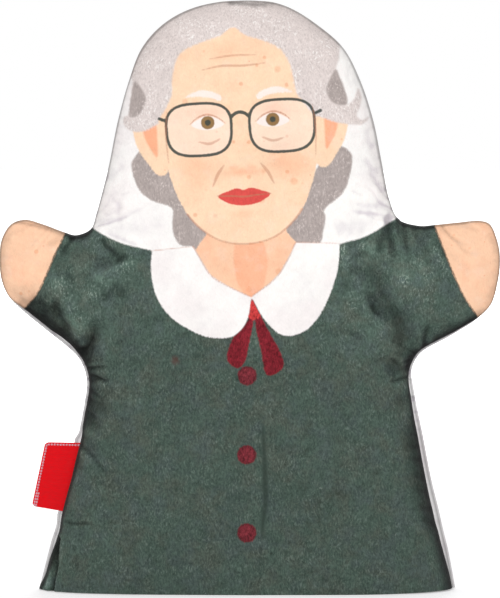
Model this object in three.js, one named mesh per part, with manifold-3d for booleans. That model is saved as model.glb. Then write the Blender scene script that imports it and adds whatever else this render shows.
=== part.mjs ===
// A felt hand puppet standing open on its hem: two sewn cloth panels with a
// hollow for the hand, a finger space in the head and one in each arm, and a
// folded ribbon label in the side seam. Millimetres, +Z up, the front faces -Y,
// and the origin is at the middle of the mouth on the ground.
import * as THREE from "three";
import { mergeVertices, toCreasedNormals } from "three/addons/utils/BufferGeometryUtils.js";
import Module from "manifold-3d";

const wasm = await Module();
wasm.setup();

// The outline, seen from the front. Left and right are as the viewer sees them.
const HEIGHT = 300; // hem to crown
const REACH = 126.2; // middle to the tip of either arm
const HEM_LEFT = 105.9; // middle to the hem's left corner
const HEM_RIGHT = 102.7;
const WAIST_LEFT = 82; // middle to the left underarm
const WAIST_RIGHT = 81.7;
const UNDERARM_LEFT = 106; // height of the left underarm
const UNDERARM_RIGHT = 109;
const ARM_TOP = 188; // height of the highest point of each arm
const NECK_LEFT = 80; // middle to the corner between head and left arm
const NECK_RIGHT = 75;
const SHOULDER_LEFT = 183.5; // height of that corner
const SHOULDER_RIGHT = 188.8;

// The cloth and its seam.
const CLOTH = 1.6; // thickness
const SEAM_ALLOWANCE = 5.5; // cloth turned inside along the seam
const SEAM_GAP = 0.3; // air between the two turned edges
const BACK_SHOWS = 1.3; // the back panel stands out past the front by this

// How far the open puppet is puffed out, front to back.
const MOUTH_DEPTH = 48;
const NECK_DEPTH = 36;
const HEAD_DEPTH = 40;
const ARM_DEPTH = 30;
const PUFF_RISE = 18; // distance from the seam in which the cloth rises
const ARM_BLEND = 34; // distance over which the body's depth passes into the arm's

// The soft folds that let the head and arms move.
const FOLD = 16; // width of each fold
const CUT = 0.3; // gap between a fold and its neighbours

// The side label.
const LABEL_OUT = 15.6; // how far it stands out of the seam
const LABEL_IN = 4; // how much of it is caught in the seam
const LABEL_TALL = 32;
const LABEL_LOW = 41; // height of its lower end
const RIBBON = 0.5; // thickness of one layer
const RIBBON_GAP = 0.25; // air between its two layers
const LABEL_CLEAR = 0.3; // air between the label and the cloth

// Fineness of the facets.
const EDGE_STEP = 7; // longest step along the outline
const EDGE_TURN = 0.26; // largest turn of a step, radians
const FACE_STEP = 9; // grid step inside the panels

const mix = (a, b, t) => a + (b - a) * t;
const smooth = (a, b, x) => {
  const t = Math.min(1, Math.max(0, (x - a) / (b - a)));
  return t * t * (3 - 2 * t);
};

// Control points as shares, from the first named size to the second.
// Skirt: [height share, share of the way from hem to waist].
const SKIRT_LEFT = [[0, 0], [0.34, 0.38], [0.76, 0.845], [0.9, 0.96]];
const SKIRT_RIGHT = [[0, 0], [0.33, 0.305], [0.52, 0.54], [0.74, 0.76], [0.89, 0.92]];
// Arm: [share of the way out to the reach, share of the way up to the arm's top].
const ARM_LEFT = [
  [0.084, 0.137], [0.256, 0.235], [0.484, 0.334], [0.713, 0.433], [0.896, 0.532],
  [0.977, 0.632], [1, 0.743], [0.977, 0.879], [0.873, 0.972], [0.724, 1],
  [0.518, 0.972], [0.267, 0.922], [0.136, 0.904],
];
const ARM_RIGHT = [
  [0.011, 0.052], [0.112, 0.154], [0.42, 0.257], [0.726, 0.361], [0.897, 0.463],
  [0.978, 0.618], [1, 0.746], [0.978, 0.875], [0.897, 0.977], [0.793, 0.997],
  [0.52, 0.985], [0.272, 0.971], [0.1, 0.965],
];
// Head: [share of the neck's half width, share of the way up to the crown].
const HEAD_LEFT = [
  [0.964, 0.068], [0.939, 0.129], [0.888, 0.268], [0.831, 0.477], [0.761, 0.652],
  [0.68, 0.791], [0.553, 0.895], [0.37, 0.965], [0.1, 1],
];
const HEAD_RIGHT = [
  [0.939, 0.087], [0.894, 0.233], [0.834, 0.452], [0.746, 0.635], [0.632, 0.781],
  [0.449, 0.89], [0.274, 0.963],
];

function sidePoints(side, hem, waist, underarm, neck, shoulder, skirt, arm, head) {
  const points = [];
  for (const [up, across] of skirt) {
    points.push([side * mix(hem, waist, across), underarm * up]);
  }
  points.push([side * waist, underarm]);
  for (const [out, up] of arm) {
    points.push([side * mix(waist, REACH, out), mix(underarm, ARM_TOP, up)]);
  }
  points.push([side * neck, shoulder]);
  for (const [across, up] of head) {
    points.push([side * neck * across, mix(shoulder, HEIGHT, up)]);
  }
  return points;
}

// The outline as one smooth open line, from the left hem corner over the crown
// to the right hem corner, with close points where it turns tightly.
function outlinePoints() {
  const left = sidePoints(
    -1, HEM_LEFT, WAIST_LEFT, UNDERARM_LEFT, NECK_LEFT, SHOULDER_LEFT,
    SKIRT_LEFT, ARM_LEFT, HEAD_LEFT,
  );
  const right = sidePoints(
    1, HEM_RIGHT, WAIST_RIGHT, UNDERARM_RIGHT, NECK_RIGHT, SHOULDER_RIGHT,
    SKIRT_RIGHT, ARM_RIGHT, HEAD_RIGHT,
  );
  const through = [...left, ...right.reverse()].map(([x, z]) => new THREE.Vector3(x, z, 0));
  const curve = new THREE.CatmullRomCurve3(through, false, "centripetal");
  curve.arcLengthDivisions = 2000;
  const fine = curve.getSpacedPoints(1500).map((p) => [p.x, p.y]);
  const kept = [fine[0]];
  let since = 0;
  let turned = 0;
  for (let i = 1; i < fine.length - 1; i++) {
    const [a, b, c] = [fine[i - 1], fine[i], fine[i + 1]];
    since += Math.hypot(b[0] - a[0], b[1] - a[1]);
    const inn = Math.atan2(b[1] - a[1], b[0] - a[0]);
    const out = Math.atan2(c[1] - b[1], c[0] - b[0]);
    turned += Math.abs(Math.atan2(Math.sin(out - inn), Math.cos(out - inn)));
    const left = (fine.length - 1 - i) * since;
    if ((since >= EDGE_STEP || (turned >= EDGE_TURN && since >= 2.4)) && left > 0) {
      const toEnd = Math.hypot(b[0] - fine.at(-1)[0], b[1] - fine.at(-1)[1]);
      if (toEnd > 0.5 * EDGE_STEP) {
        kept.push(b);
        since = 0;
        turned = 0;
      }
    }
  }
  kept.push(fine.at(-1));
  return kept;
}

// The inward direction at each outline point. At the hem it runs along the hem.
function inwardOf(line) {
  const n = line.length;
  return line.map((p, i) => {
    const a = line[Math.max(0, i - 1)];
    const b = line[Math.min(n - 1, i + 1)];
    const long = Math.hypot(b[0] - a[0], b[1] - a[1]);
    // the line runs clockwise round the cloth, so inward is to its right
    let x = (b[1] - a[1]) / long;
    let z = -(b[0] - a[0]) / long;
    const level = 1 - smooth(0, 0.07 * HEIGHT, p[1]);
    x = mix(x, Math.sign(-p[0]), level);
    z = mix(z, 0, level);
    const size = Math.hypot(x, z);
    return [x / size, z / size];
  });
}

const moved = (line, inward, by) =>
  line.map(([x, z], i) => {
    const d = typeof by === "function" ? by(x, z) : by;
    return [x + inward[i][0] * d, z + inward[i][1] * d];
  });

// The same line moved inwards, then evened out so that it can't cross itself
// where the outline turns more tightly than it moves.
function ringAt(line, inward, by) {
  let ring = moved(line, inward, by);
  for (let pass = 0; pass < 2 * by; pass++) {
    ring = ring.map((p, i) => {
      if (i === 0 || i === ring.length - 1) return p;
      const [a, b] = [ring[i - 1], ring[i + 1]];
      return [p[0] / 2 + (a[0] + b[0]) / 4, p[1] / 2 + (a[1] + b[1]) / 4];
    });
  }
  return ring;
}

function inside(polygon, x, z) {
  let hit = false;
  for (let i = 0, j = polygon.length - 1; i < polygon.length; j = i++) {
    const [ax, az] = polygon[i];
    const [bx, bz] = polygon[j];
    if (az > z !== bz > z && x < ((bx - ax) * (z - az)) / (bz - az) + ax) hit = !hit;
  }
  return hit;
}

function distanceTo(polygon, x, z) {
  let best = Infinity;
  for (let i = 0, j = polygon.length - 1; i < polygon.length; j = i++) {
    const [ax, az] = polygon[j];
    const [bx, bz] = polygon[i];
    const [dx, dz] = [bx - ax, bz - az];
    const t = Math.min(1, Math.max(0, ((x - ax) * dx + (z - az) * dz) / (dx * dx + dz * dz)));
    best = Math.min(best, Math.hypot(x - ax - dx * t, z - az - dz * t));
  }
  return best;
}

// Delaunay triangles over points [x, z], by adding the points one at a time.
function triangulate(points) {
  const far = 4 * (HEIGHT + 2 * REACH);
  const all = [...points, [-far, -far], [far, -far], [0, far]];
  const n = points.length;
  const circle = (a, b, c) => {
    const [ax, az] = all[a];
    const [bx, bz] = [all[b][0] - ax, all[b][1] - az];
    const [cx, cz] = [all[c][0] - ax, all[c][1] - az];
    const d = 2 * (bx * cz - bz * cx);
    const ux = (cz * (bx * bx + bz * bz) - bz * (cx * cx + cz * cz)) / d;
    const uz = (bx * (cx * cx + cz * cz) - cx * (bx * bx + bz * bz)) / d;
    return { v: [a, b, c], x: ax + ux, z: az + uz, r: ux * ux + uz * uz };
  };
  let cells = [circle(n, n + 1, n + 2)];
  for (let p = 0; p < n; p++) {
    const [x, z] = all[p];
    const edges = new Map();
    const stay = [];
    for (const c of cells) {
      if ((x - c.x) ** 2 + (z - c.z) ** 2 >= c.r * (1 - 1e-12)) {
        stay.push(c);
        continue;
      }
      for (let k = 0; k < 3; k++) {
        const [a, b] = [c.v[k], c.v[(k + 1) % 3]];
        const back = b + "," + a;
        if (edges.has(back)) edges.delete(back);
        else edges.set(a + "," + b, [a, b]);
      }
    }
    cells = stay;
    for (const [a, b] of edges.values()) cells.push(circle(a, b, p));
  }
  return cells.map((c) => c.v).filter((v) => v.every((i) => i < n));
}

// A flat net of triangles over the outline: rings that follow the seam, then a
// grid of points inside them.
const RINGS = [0, 1.2, 4, 8];

function flatNet(line) {
  const inward = inwardOf(line);
  const n = line.length;
  const points = [];
  const faces = [];
  for (const by of RINGS) points.push(...(by > 3 ? ringAt : moved)(line, inward, by));
  for (let r = 0; r + 1 < RINGS.length; r++) {
    for (let i = 0; i + 1 < n; i++) {
      const [a, b] = [r * n + i, r * n + i + 1];
      const [c, d] = [a + n, b + n];
      faces.push([a, b, d], [a, d, c]);
    }
  }
  const base = (RINGS.length - 1) * n;
  const ring = points.slice(base);
  const hemFrom = ring[n - 1][0];
  const hemTo = ring[0][0];
  const hemSteps = Math.round((hemFrom - hemTo) / FACE_STEP);
  const hem = [];
  for (let i = 1; i < hemSteps; i++) hem.push([mix(hemFrom, hemTo, i / hemSteps), 0]);
  const border = [...ring, ...hem];
  const inner = [...border];
  const up = FACE_STEP * Math.sqrt(0.75);
  for (let row = 1; row * up < HEIGHT; row++) {
    const shift = row % 2 ? 0.5 : 0;
    const across = Math.ceil(REACH / FACE_STEP) + 1;
    for (let i = -across; i <= across; i++) {
      const [x, z] = [(i + shift) * FACE_STEP, row * up];
      if (inside(border, x, z) && distanceTo(border, x, z) > 0.6 * FACE_STEP) inner.push([x, z]);
    }
  }
  points.push(...inner.slice(n));
  for (const [a, b, c] of triangulate(inner)) {
    const x = (inner[a][0] + inner[b][0] + inner[c][0]) / 3;
    const z = (inner[a][1] + inner[b][1] + inner[c][1]) / 3;
    if (!inside(border, x, z)) continue;
    const [p, q, s] = [inner[a], inner[b], inner[c]];
    const area = (q[0] - p[0]) * (s[1] - p[1]) - (q[1] - p[1]) * (s[0] - p[0]);
    const turn = area > 0 ? [a, c, b] : [a, b, c];
    faces.push(turn.map((k) => k + base));
  }
  // the open edge along the hem, from the line's end back to its start
  const rim = [];
  for (let r = 0; r < RINGS.length; r++) rim.push(r * n + n - 1);
  for (let i = 0; i < hem.length; i++) rim.push(base + n + i);
  for (let r = RINGS.length - 1; r >= 0; r--) rim.push(r * n);
  return { points, faces, n, rim, inward };
}

// The puffed height over the net: a skin held at the seam and free at the hem.
function puffOf({ points, faces, n }) {
  const around = points.map(() => new Map());
  const area = points.map(() => 0);
  for (const [a, b, c] of faces) {
    const corners = [[a, b, c], [b, c, a], [c, a, b]];
    for (const [p, q, s] of corners) {
      const [ux, uz] = [points[q][0] - points[p][0], points[q][1] - points[p][1]];
      const [vx, vz] = [points[s][0] - points[p][0], points[s][1] - points[p][1]];
      const cross = Math.abs(ux * vz - uz * vx);
      const weight = (0.5 * (ux * vx + uz * vz)) / cross;
      around[q].set(s, (around[q].get(s) ?? 0) + weight);
      around[s].set(q, (around[s].get(q) ?? 0) + weight);
      area[p] += cross / 6;
    }
  }
  const u = points.map(() => 0.5);
  for (let i = 0; i < n; i++) u[i] = 0;
  for (let pass = 0; pass < 500; pass++) {
    for (let p = n; p < points.length; p++) {
      const own = area[p] / PUFF_RISE ** 2;
      let sum = own;
      let total = own;
      for (const [q, w] of around[p]) {
        sum += w * u[q];
        total += w;
      }
      u[p] += 1.3 * (sum / total - u[p]);
    }
  }
  return u.map((v) => Math.sqrt(Math.min(1, Math.max(0, v))));
}

function depthAt(x, z) {
  const shoulder = (SHOULDER_LEFT + SHOULDER_RIGHT) / 2;
  const trunk = mix(MOUTH_DEPTH, NECK_DEPTH, smooth(0, shoulder, z));
  const body = mix(trunk, HEAD_DEPTH, smooth(shoulder, mix(shoulder, HEIGHT, 0.5), z));
  const waist = Math.min(WAIST_LEFT, WAIST_RIGHT);
  const from = waist - 0.6 * ARM_BLEND;
  const out = smooth(from, from + ARM_BLEND, Math.abs(x));
  const up = smooth(0.55 * UNDERARM_RIGHT, UNDERARM_RIGHT, z);
  return mix(body, ARM_DEPTH, z < 1.02 * ARM_TOP ? out * up : 0) / 2;
}

// One sewn panel as a closed body. side is -1 for the front and +1 for the back.
function panel(line, side) {
  const net = flatNet(line);
  const { points, faces, n, rim, inward } = net;
  const puff = puffOf(net);
  const rise = SEAM_GAP / 2;
  const outer = points.map(([x, z], i) => {
    const out = i < n ? 0 : puff[i] * depthAt(x, z);
    return new THREE.Vector3(x, side * (rise + out), z);
  });
  const normal = points.map(() => new THREE.Vector3());
  const one = new THREE.Vector3();
  const two = new THREE.Vector3();
  for (const [a, b, c] of faces) {
    one.subVectors(outer[b], outer[a]);
    two.subVectors(outer[c], outer[a]);
    one.cross(two);
    if (one.y * side < 0) one.negate();
    for (const k of [a, b, c]) normal[k].add(one);
  }
  const onRim = new Set(rim);
  const innerSide = outer.map((p, i) => {
    if (i < n) {
      const [x, z] = [inward[i][0] * CLOTH, inward[i][1] * CLOTH];
      return new THREE.Vector3(p.x + x, side * (rise + CLOTH), p.z + z);
    }
    if (onRim.has(i)) normal[i].z = 0;
    return p.clone().addScaledVector(normal[i].normalize(), -CLOTH);
  });
  // the turned seam allowance: its end away from the seam, low and high
  const count = points.length;
  const low = ringAt(line, inward, SEAM_ALLOWANCE).map(
    ([x, z]) => new THREE.Vector3(x, side * rise, z),
  );
  const high = low.map((p) => new THREE.Vector3(p.x, side * (rise + CLOTH), p.z));
  const vertices = [...outer, ...innerSide, ...low, ...high];
  const [I, L, H] = [count, 2 * count, 2 * count + n];
  const all = [];
  for (const [a, b, c] of faces) {
    all.push([a, b, c], [a + I, c + I, b + I]);
  }
  for (let i = 0; i + 1 < n; i++) {
    const j = i + 1;
    all.push([i, L + i, L + j], [i, L + j, j]);
    all.push([L + i, H + i, H + j], [L + i, H + j, L + j]);
    all.push([H + i, I + i, I + j], [H + i, I + j, H + j]);
  }
  for (let i = 0; i + 1 < rim.length; i++) {
    const [a, b] = [rim[i], rim[i + 1]];
    all.push([a, I + a, I + b], [a, I + b, b]);
  }
  const last = n - 1;
  all.push([0, I, H], [0, H, L]);
  all.push([last, L + last, H + last], [last, H + last, I + last]);
  const geometry = new THREE.BufferGeometry();
  const position = new Float32Array(vertices.flatMap((v) => [v.x, v.y, v.z]));
  geometry.setAttribute("position", new THREE.BufferAttribute(position, 3));
  geometry.setIndex(all.flat());
  return geometry;
}

function solidOf(geometry) {
  const bare = geometry.clone();
  bare.deleteAttribute("normal");
  bare.deleteAttribute("uv");
  const merged = mergeVertices(bare, 1e-4);
  const make = (turn) => {
    const triVerts = new Uint32Array(merged.index.array);
    if (turn) {
      for (let i = 0; i < triVerts.length; i += 3) {
        [triVerts[i + 1], triVerts[i + 2]] = [triVerts[i + 2], triVerts[i + 1]];
      }
    }
    const vertProperties = merged.attributes.position.array;
    return new wasm.Manifold(new wasm.Mesh({ numProp: 3, vertProperties, triVerts }));
  };
  const solid = make(false);
  return solid.volume() < 0 ? make(true) : solid;
}

// A block with the given outline [x, z] that runs right through the puppet.
function block(outline, from = -REACH, to = REACH) {
  const shape = new THREE.Shape(outline.map(([x, z]) => new THREE.Vector2(x, z)));
  const geometry = new THREE.ExtrudeGeometry(shape, { depth: to - from, bevelEnabled: false });
  geometry.rotateX(Math.PI / 2);
  geometry.translate(0, to, 0);
  return solidOf(geometry);
}

const silhouette = outlinePoints();
const tuck = (x, z) => {
  const [from, to] = [0.25, 0.55].map((t) => mix(UNDERARM_RIGHT, ARM_TOP, t));
  return BACK_SHOWS * (1 - smooth(from, to, z));
};
const frontLine = moved(silhouette, inwardOf(silhouette), tuck);
const backLine = silhouette;

// The side label: a ribbon folded in two, its fold outwards, its open end sewn in.
const seamAt = (z) => {
  for (let i = 0; i + 1 < backLine.length; i++) {
    const [a, b] = [backLine[i], backLine[i + 1]];
    if (b[1] >= z) return mix(a[0], b[0], (z - a[1]) / (b[1] - a[1]));
  }
  return 0;
};
const labelTop = LABEL_LOW + LABEL_TALL;
const lean = Math.atan2(seamAt(labelTop) - seamAt(LABEL_LOW), LABEL_TALL);
const labelFoot = [seamAt(LABEL_LOW), LABEL_LOW];

function labelShape(grow) {
  const thick = RIBBON + RIBBON_GAP / 2;
  const out = -LABEL_OUT;
  const shape = new THREE.Shape();
  if (grow) {
    const half = thick + LABEL_CLEAR;
    shape.moveTo(LABEL_IN + LABEL_CLEAR, -half);
    shape.lineTo(LABEL_IN + LABEL_CLEAR, half);
    shape.lineTo(out - 1, half);
    shape.lineTo(out - 1, -half);
    return shape;
  }
  shape.moveTo(LABEL_IN, -thick);
  shape.lineTo(LABEL_IN, -RIBBON_GAP / 2);
  shape.lineTo(out + thick, -RIBBON_GAP / 2);
  shape.lineTo(out + thick, RIBBON_GAP / 2);
  shape.lineTo(LABEL_IN, RIBBON_GAP / 2);
  shape.lineTo(LABEL_IN, thick);
  shape.lineTo(out + thick, thick);
  for (let k = 1; k < 8; k++) {
    const turn = Math.PI / 2 + (k * Math.PI) / 8;
    shape.lineTo(out + thick + thick * Math.cos(turn), thick * Math.sin(turn));
  }
  shape.lineTo(out + thick, -thick);
  return shape;
}

function labelGeometry(grow) {
  const tall = LABEL_TALL + (grow ? 2 * LABEL_CLEAR : 0);
  const geometry = new THREE.ExtrudeGeometry(labelShape(grow), {
    depth: tall,
    bevelEnabled: false,
  });
  if (grow) geometry.translate(0, 0, -LABEL_CLEAR);
  geometry.rotateY(lean);
  geometry.translate(labelFoot[0], 0, labelFoot[1]);
  return geometry;
}

// Where the panels divide: the torso up to the neck line and out to the
// shoulder lines, a fold beyond each line, then the head and the two arms.
const half = CUT / 2;
const WIDE = 4 * REACH;
const neckLine = [
  [-NECK_LEFT, SHOULDER_LEFT + 1],
  [NECK_RIGHT, SHOULDER_RIGHT + 1],
];
const neckAt = (x) => {
  const t = (x - neckLine[0][0]) / (neckLine[1][0] - neckLine[0][0]);
  return mix(neckLine[0][1], neckLine[1][1], t);
};
const shoulders = [
  { side: -1, low: [-WAIST_LEFT - 0.6, UNDERARM_LEFT + 1.6], high: [-NECK_LEFT - 2, ARM_TOP + 4] },
  { side: 1, low: [WAIST_RIGHT + 0.6, UNDERARM_RIGHT + 1.6], high: [NECK_RIGHT + 3, ARM_TOP + 4] },
];
const along = ([x, z], dx, dz) => [x + dx, z + dz];

function armRegion(s, from, to) {
  // from and to are distances outwards from the shoulder line
  const { side, low, high } = s;
  return [
    along(low, side * from, 0),
    along(low, side * to, 0),
    along(high, side * to, 0),
    along(high, side * from, 0),
  ];
}

function neckRegion(from, to) {
  const [left, right] = [shoulders[0].high[0], shoulders[1].high[0]];
  return [
    [left, neckAt(left) + from],
    [right, neckAt(right) + from],
    [right, neckAt(right) + to],
    [left, neckAt(left) + to],
  ];
}

function headRegion(from) {
  return [
    [-REACH, neckAt(-REACH) + from],
    [REACH, neckAt(REACH) + from],
    [REACH, 2 * HEIGHT],
    [-REACH, 2 * HEIGHT],
  ];
}

function torsoRegion() {
  const [l, r] = shoulders;
  return [
    [-WIDE, -50],
    [WIDE, -50],
    [WIDE, r.low[1] - half],
    along(r.low, -half, -half),
    [r.high[0] - half, neckAt(r.high[0]) - half],
    [l.high[0] + half, neckAt(l.high[0]) - half],
    along(l.low, half, -half),
    [-WIDE, l.low[1] - half],
  ];
}

const regions = {
  torso: torsoRegion(),
  neck_fold: neckRegion(half, FOLD),
  head: headRegion(FOLD + CUT),
  shoulder_fold_left: armRegion(shoulders[0], half, FOLD),
  shoulder_fold_right: armRegion(shoulders[1], half, FOLD),
  arm_left: armRegion(shoulders[0], FOLD + CUT, WIDE),
  arm_right: armRegion(shoulders[1], FOLD + CUT, WIDE),
};

const DRESS = 0x4b5a52;
const SKIN = 0xf7cba3;
const WHITE = 0xf5f0f0;
const looks = {
  torso: DRESS,
  neck_fold: WHITE,
  head: WHITE,
  shoulder_fold_left: DRESS,
  shoulder_fold_right: DRESS,
  arm_left: SKIN,
  arm_right: SKIN,
};

const puppet = new THREE.Group();

function addMesh(name, geometry, color, roughness) {
  const material = new THREE.MeshStandardMaterial({ color, roughness, metalness: 0 });
  const mesh = new THREE.Mesh(geometry, material);
  mesh.name = name;
  puppet.add(mesh);
  return mesh;
}

function geometryOf(solid) {
  const { vertProperties, triVerts } = solid.getMesh();
  const geometry = new THREE.BufferGeometry();
  geometry.setAttribute("position", new THREE.BufferAttribute(new Float32Array(vertProperties), 3));
  geometry.setIndex(Array.from(triVerts));
  return toCreasedNormals(geometry, 0.7);
}

const slot = solidOf(labelGeometry(true));
for (const [face, line, side] of [["front", frontLine, -1], ["back", backLine, 1]]) {
  const cloth = solidOf(panel(line, side)).subtract(slot);
  for (const [name, region] of Object.entries(regions)) {
    const piece = cloth.intersect(block(region));
    const color = face === "front" ? looks[name] : WHITE;
    addMesh(face + "_" + name, geometryOf(piece), color, 0.95);
  }
}
addMesh("side_label", labelGeometry(false), 0xd8232f, 0.6);

export default puppet;
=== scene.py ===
"""A felt hand puppet: two sewn panels of short-pile cloth with a printed front,
a white back, an open mouth at the hem, and a woven label in the side seam."""

import math

import bpy
import numpy as np
from bpy.props import FloatProperty, FloatVectorProperty, PointerProperty
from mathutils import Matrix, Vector, noise
from mathutils.geometry import delaunay_2d_cdt
from mathutils.kdtree import KDTree


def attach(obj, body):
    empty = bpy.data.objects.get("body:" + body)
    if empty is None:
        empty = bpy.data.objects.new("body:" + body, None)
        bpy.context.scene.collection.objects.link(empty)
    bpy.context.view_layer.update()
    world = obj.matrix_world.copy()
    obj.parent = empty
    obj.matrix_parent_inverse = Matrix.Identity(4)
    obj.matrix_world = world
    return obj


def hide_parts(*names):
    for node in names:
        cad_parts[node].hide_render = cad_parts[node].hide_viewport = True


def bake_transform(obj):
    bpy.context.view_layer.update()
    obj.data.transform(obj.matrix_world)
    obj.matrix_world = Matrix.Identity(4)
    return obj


bl_info = {
    "name": "Felt hand puppet",
    "version": (1, 0, 0),
    "blender": (4, 5, 0),
    "location": "3D View > Sidebar > Puppet",
    "description": "Sewn cloth hand puppet with a printed front",
    "category": "Add Mesh",
}

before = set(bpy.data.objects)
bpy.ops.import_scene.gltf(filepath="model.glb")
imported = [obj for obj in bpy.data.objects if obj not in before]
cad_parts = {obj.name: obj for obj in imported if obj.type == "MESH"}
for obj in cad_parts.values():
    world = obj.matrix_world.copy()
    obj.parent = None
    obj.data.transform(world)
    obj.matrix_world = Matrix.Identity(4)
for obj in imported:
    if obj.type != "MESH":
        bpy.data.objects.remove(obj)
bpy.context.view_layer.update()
MM = 0.001
VIEW_TILT = math.radians(4.9)  # the camera looks down by this, and the print is laid to be seen so
PHOTO_TALL = 598  # pixels
PIXEL = 0.5072  # mm on the puppet


def length(name, about, value):
    """A length whose default is given in mm."""
    return FloatProperty(name=name, description=about, default=value * MM, unit="LENGTH")


def colour(name, about, rgb):
    """A colour written as it looks on screen, 0 to 255, kept as linear light."""
    linear = [((c / 255 + 0.055) / 1.055) ** 2.4 if c > 10 else c / 255 / 12.92 for c in rgb]
    return FloatVectorProperty(
        name=name, description=about, default=linear, size=3, subtype="COLOR", min=0, max=1
    )


class PuppetShape(bpy.types.PropertyGroup):
    height: length("Height", "Hem to crown", 300)
    reach: length("Reach", "Middle to the tip of either arm", 126.2)
    hem_left: length("Hem left", "Middle to the hem's left corner", 105.9)
    hem_right: length("Hem right", "Middle to the hem's right corner", 102.7)
    waist_left: length("Waist left", "Middle to the left underarm", 82)
    waist_right: length("Waist right", "Middle to the right underarm", 81.7)
    underarm_left: length("Underarm left", "Height of the left underarm", 106)
    underarm_right: length("Underarm right", "Height of the right underarm", 109)
    arm_top: length("Arm top", "Height of each arm's highest point", 188)
    neck_left: length("Neck left", "Middle to the corner of head and left arm", 80)
    neck_right: length("Neck right", "Middle to the corner of head and right arm", 75)
    shoulder_left: length("Shoulder left", "Height of the left corner", 183.5)
    shoulder_right: length("Shoulder right", "Height of the right corner", 188.8)
    cloth: length("Cloth", "Thickness of the cloth", 1.6)
    allowance: length("Allowance", "Cloth turned inside along the seam", 5.5)
    back_shows: length("Back shows", "How far the back stands out past the front", 2.1)
    give: length("Give", "How far the soft outline stands out past the pattern", 0.5)
    flare: length("Flare", "How much further out the hem's corners lie", 1.0)
    hem_lift: length("Hem lift", "How far the hem's corners curl up", 0.8)
    mouth_depth: length("Mouth depth", "Front to back at the hem", 51)
    neck_depth: length("Neck depth", "Front to back at the neck", 36)
    head_depth: length("Head depth", "Front to back at the head", 40)
    arm_depth: length("Arm depth", "Front to back at the arms", 30)
    puff_rise: length("Puff rise", "Distance from the seam in which the cloth rises", 18)
    arm_blend: length("Arm blend", "Distance over which body passes into arm", 34)
    fold: length("Fold", "Width of the soft fold at neck and shoulders", 16)


class PuppetCloth(bpy.types.PropertyGroup):
    white: colour("White cloth", "Unprinted cloth", (254, 251, 248))
    white_shade: colour("White shade", "Faint tint in the white cloth", (246, 238, 237))
    # painted shade: the colour of the white cloth in its folds
    white_fold_shade: colour("White folds", "Tint of the white cloth in its folds", (226, 216, 224))
    dress: colour("Dress", "Printed dress", (72, 89, 80))
    dress_warm: colour("Dress warm", "Warmer patches of the dress", (78, 88, 79))
    dress_cool: colour("Dress cool", "Cooler patches of the dress", (75, 88, 85))
    dress_tips: colour("Dress tips", "Pale fibre tips in the dress", (138, 148, 140))
    skin: colour("Skin", "Printed skin", (254, 220, 187))
    blush: colour("Skin shade", "Printed shade on the skin", (252, 176, 138))
    spots: colour("Skin spots", "Printed spots on the skin", (232, 150, 104))
    hair: colour("Hair", "Printed light hair", (225, 213, 209))
    hair_dark: colour("Hair shade", "Printed dark hair", (176, 164, 160))
    lips: colour("Lips", "Printed lips", (222, 84, 78))
    rims: colour("Rims", "Printed glasses", (62, 72, 68))
    brow: colour("Brows", "Printed brows and eye whites", (253, 240, 234))
    iris: colour("Irises", "Printed irises", (150, 118, 78))
    ribbon: colour("Ribbon", "Printed ribbon", (120, 30, 40))
    knot: colour("Knot", "Printed top of the ribbon", (188, 58, 58))
    button: colour("Buttons", "Printed buttons", (116, 42, 50))
    stain: colour("Stain", "Small stain on the dress", (92, 58, 52))
    label: colour("Label", "Woven side label", (232, 6, 20))
    label_thread: colour("Label thread", "Stitches at the label's edge", (255, 180, 194))
    fine_step: length("Fine step", "Mesh step in the head", 0.8)
    body_step: length("Body step", "Mesh step in the body", 0.95)
    back_step: length("Back step", "Mesh step of the back", 1.5)


class PuppetStage(bpy.types.PropertyGroup):
    tilt: FloatProperty(
        name="Camera tilt",
        description="How far the camera looks down",
        default=VIEW_TILT,
        subtype="ANGLE",
    )
    distance: FloatProperty(
        name="Camera distance", description="Camera to puppet", default=4.5, unit="LENGTH"
    )
    key: FloatProperty(
        name="Key light", description="Power of each softbox", default=15.2, unit="POWER"
    )
    sky: FloatProperty(name="Sky", description="Strength of the even light", default=0.6)


def mm(group, *names):
    """The group's lengths of these names, in mm."""
    return [getattr(group, n) / MM for n in names]


# Outline ------------------------------------------------------------------

# Control points as shares between named sizes, the same as the sewn pattern's.
SKIRT_LEFT = [(0, 0), (0.34, 0.38), (0.76, 0.845), (0.9, 0.96)]
SKIRT_RIGHT = [(0, 0), (0.33, 0.305), (0.52, 0.54), (0.74, 0.76), (0.89, 0.92)]
ARM_LEFT = [
    (0.084, 0.137), (0.256, 0.235), (0.484, 0.334), (0.713, 0.433), (0.896, 0.532),
    (0.977, 0.632), (1, 0.743), (0.977, 0.879), (0.873, 0.972), (0.724, 1),
    (0.518, 0.972), (0.267, 0.922), (0.136, 0.904),
]
ARM_RIGHT = [
    (0.011, 0.052), (0.112, 0.154), (0.42, 0.257), (0.726, 0.361), (0.897, 0.463),
    (0.978, 0.618), (1, 0.746), (0.978, 0.875), (0.897, 0.977), (0.793, 0.997),
    (0.52, 0.985), (0.272, 0.971), (0.1, 0.965),
]
HEAD_LEFT = [
    (0.964, 0.068), (0.939, 0.129), (0.888, 0.268), (0.831, 0.477), (0.761, 0.652),
    (0.68, 0.791), (0.546, 0.894), (0.356, 0.965), (0.07, 1),
]
HEAD_RIGHT = [
    (0.939, 0.087), (0.894, 0.233), (0.834, 0.452), (0.746, 0.635), (0.632, 0.781),
    (0.449, 0.89), (0.274, 0.963), (0.13, 0.993),
]


def mix(a, b, t):
    """The value between a and b, a share t of the way."""
    return a + (b - a) * t


def smooth(a, b, x):
    """0 before a, 1 past b, and a soft passage between them."""
    t = np.clip((np.asarray(x, float) - a) / (b - a), 0, 1)
    return t * t * (3 - 2 * t)


def fade(a, b, x):
    """1 before a, 0 past b, and a soft passage between them."""
    return 1 - smooth(a, b, x)


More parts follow.
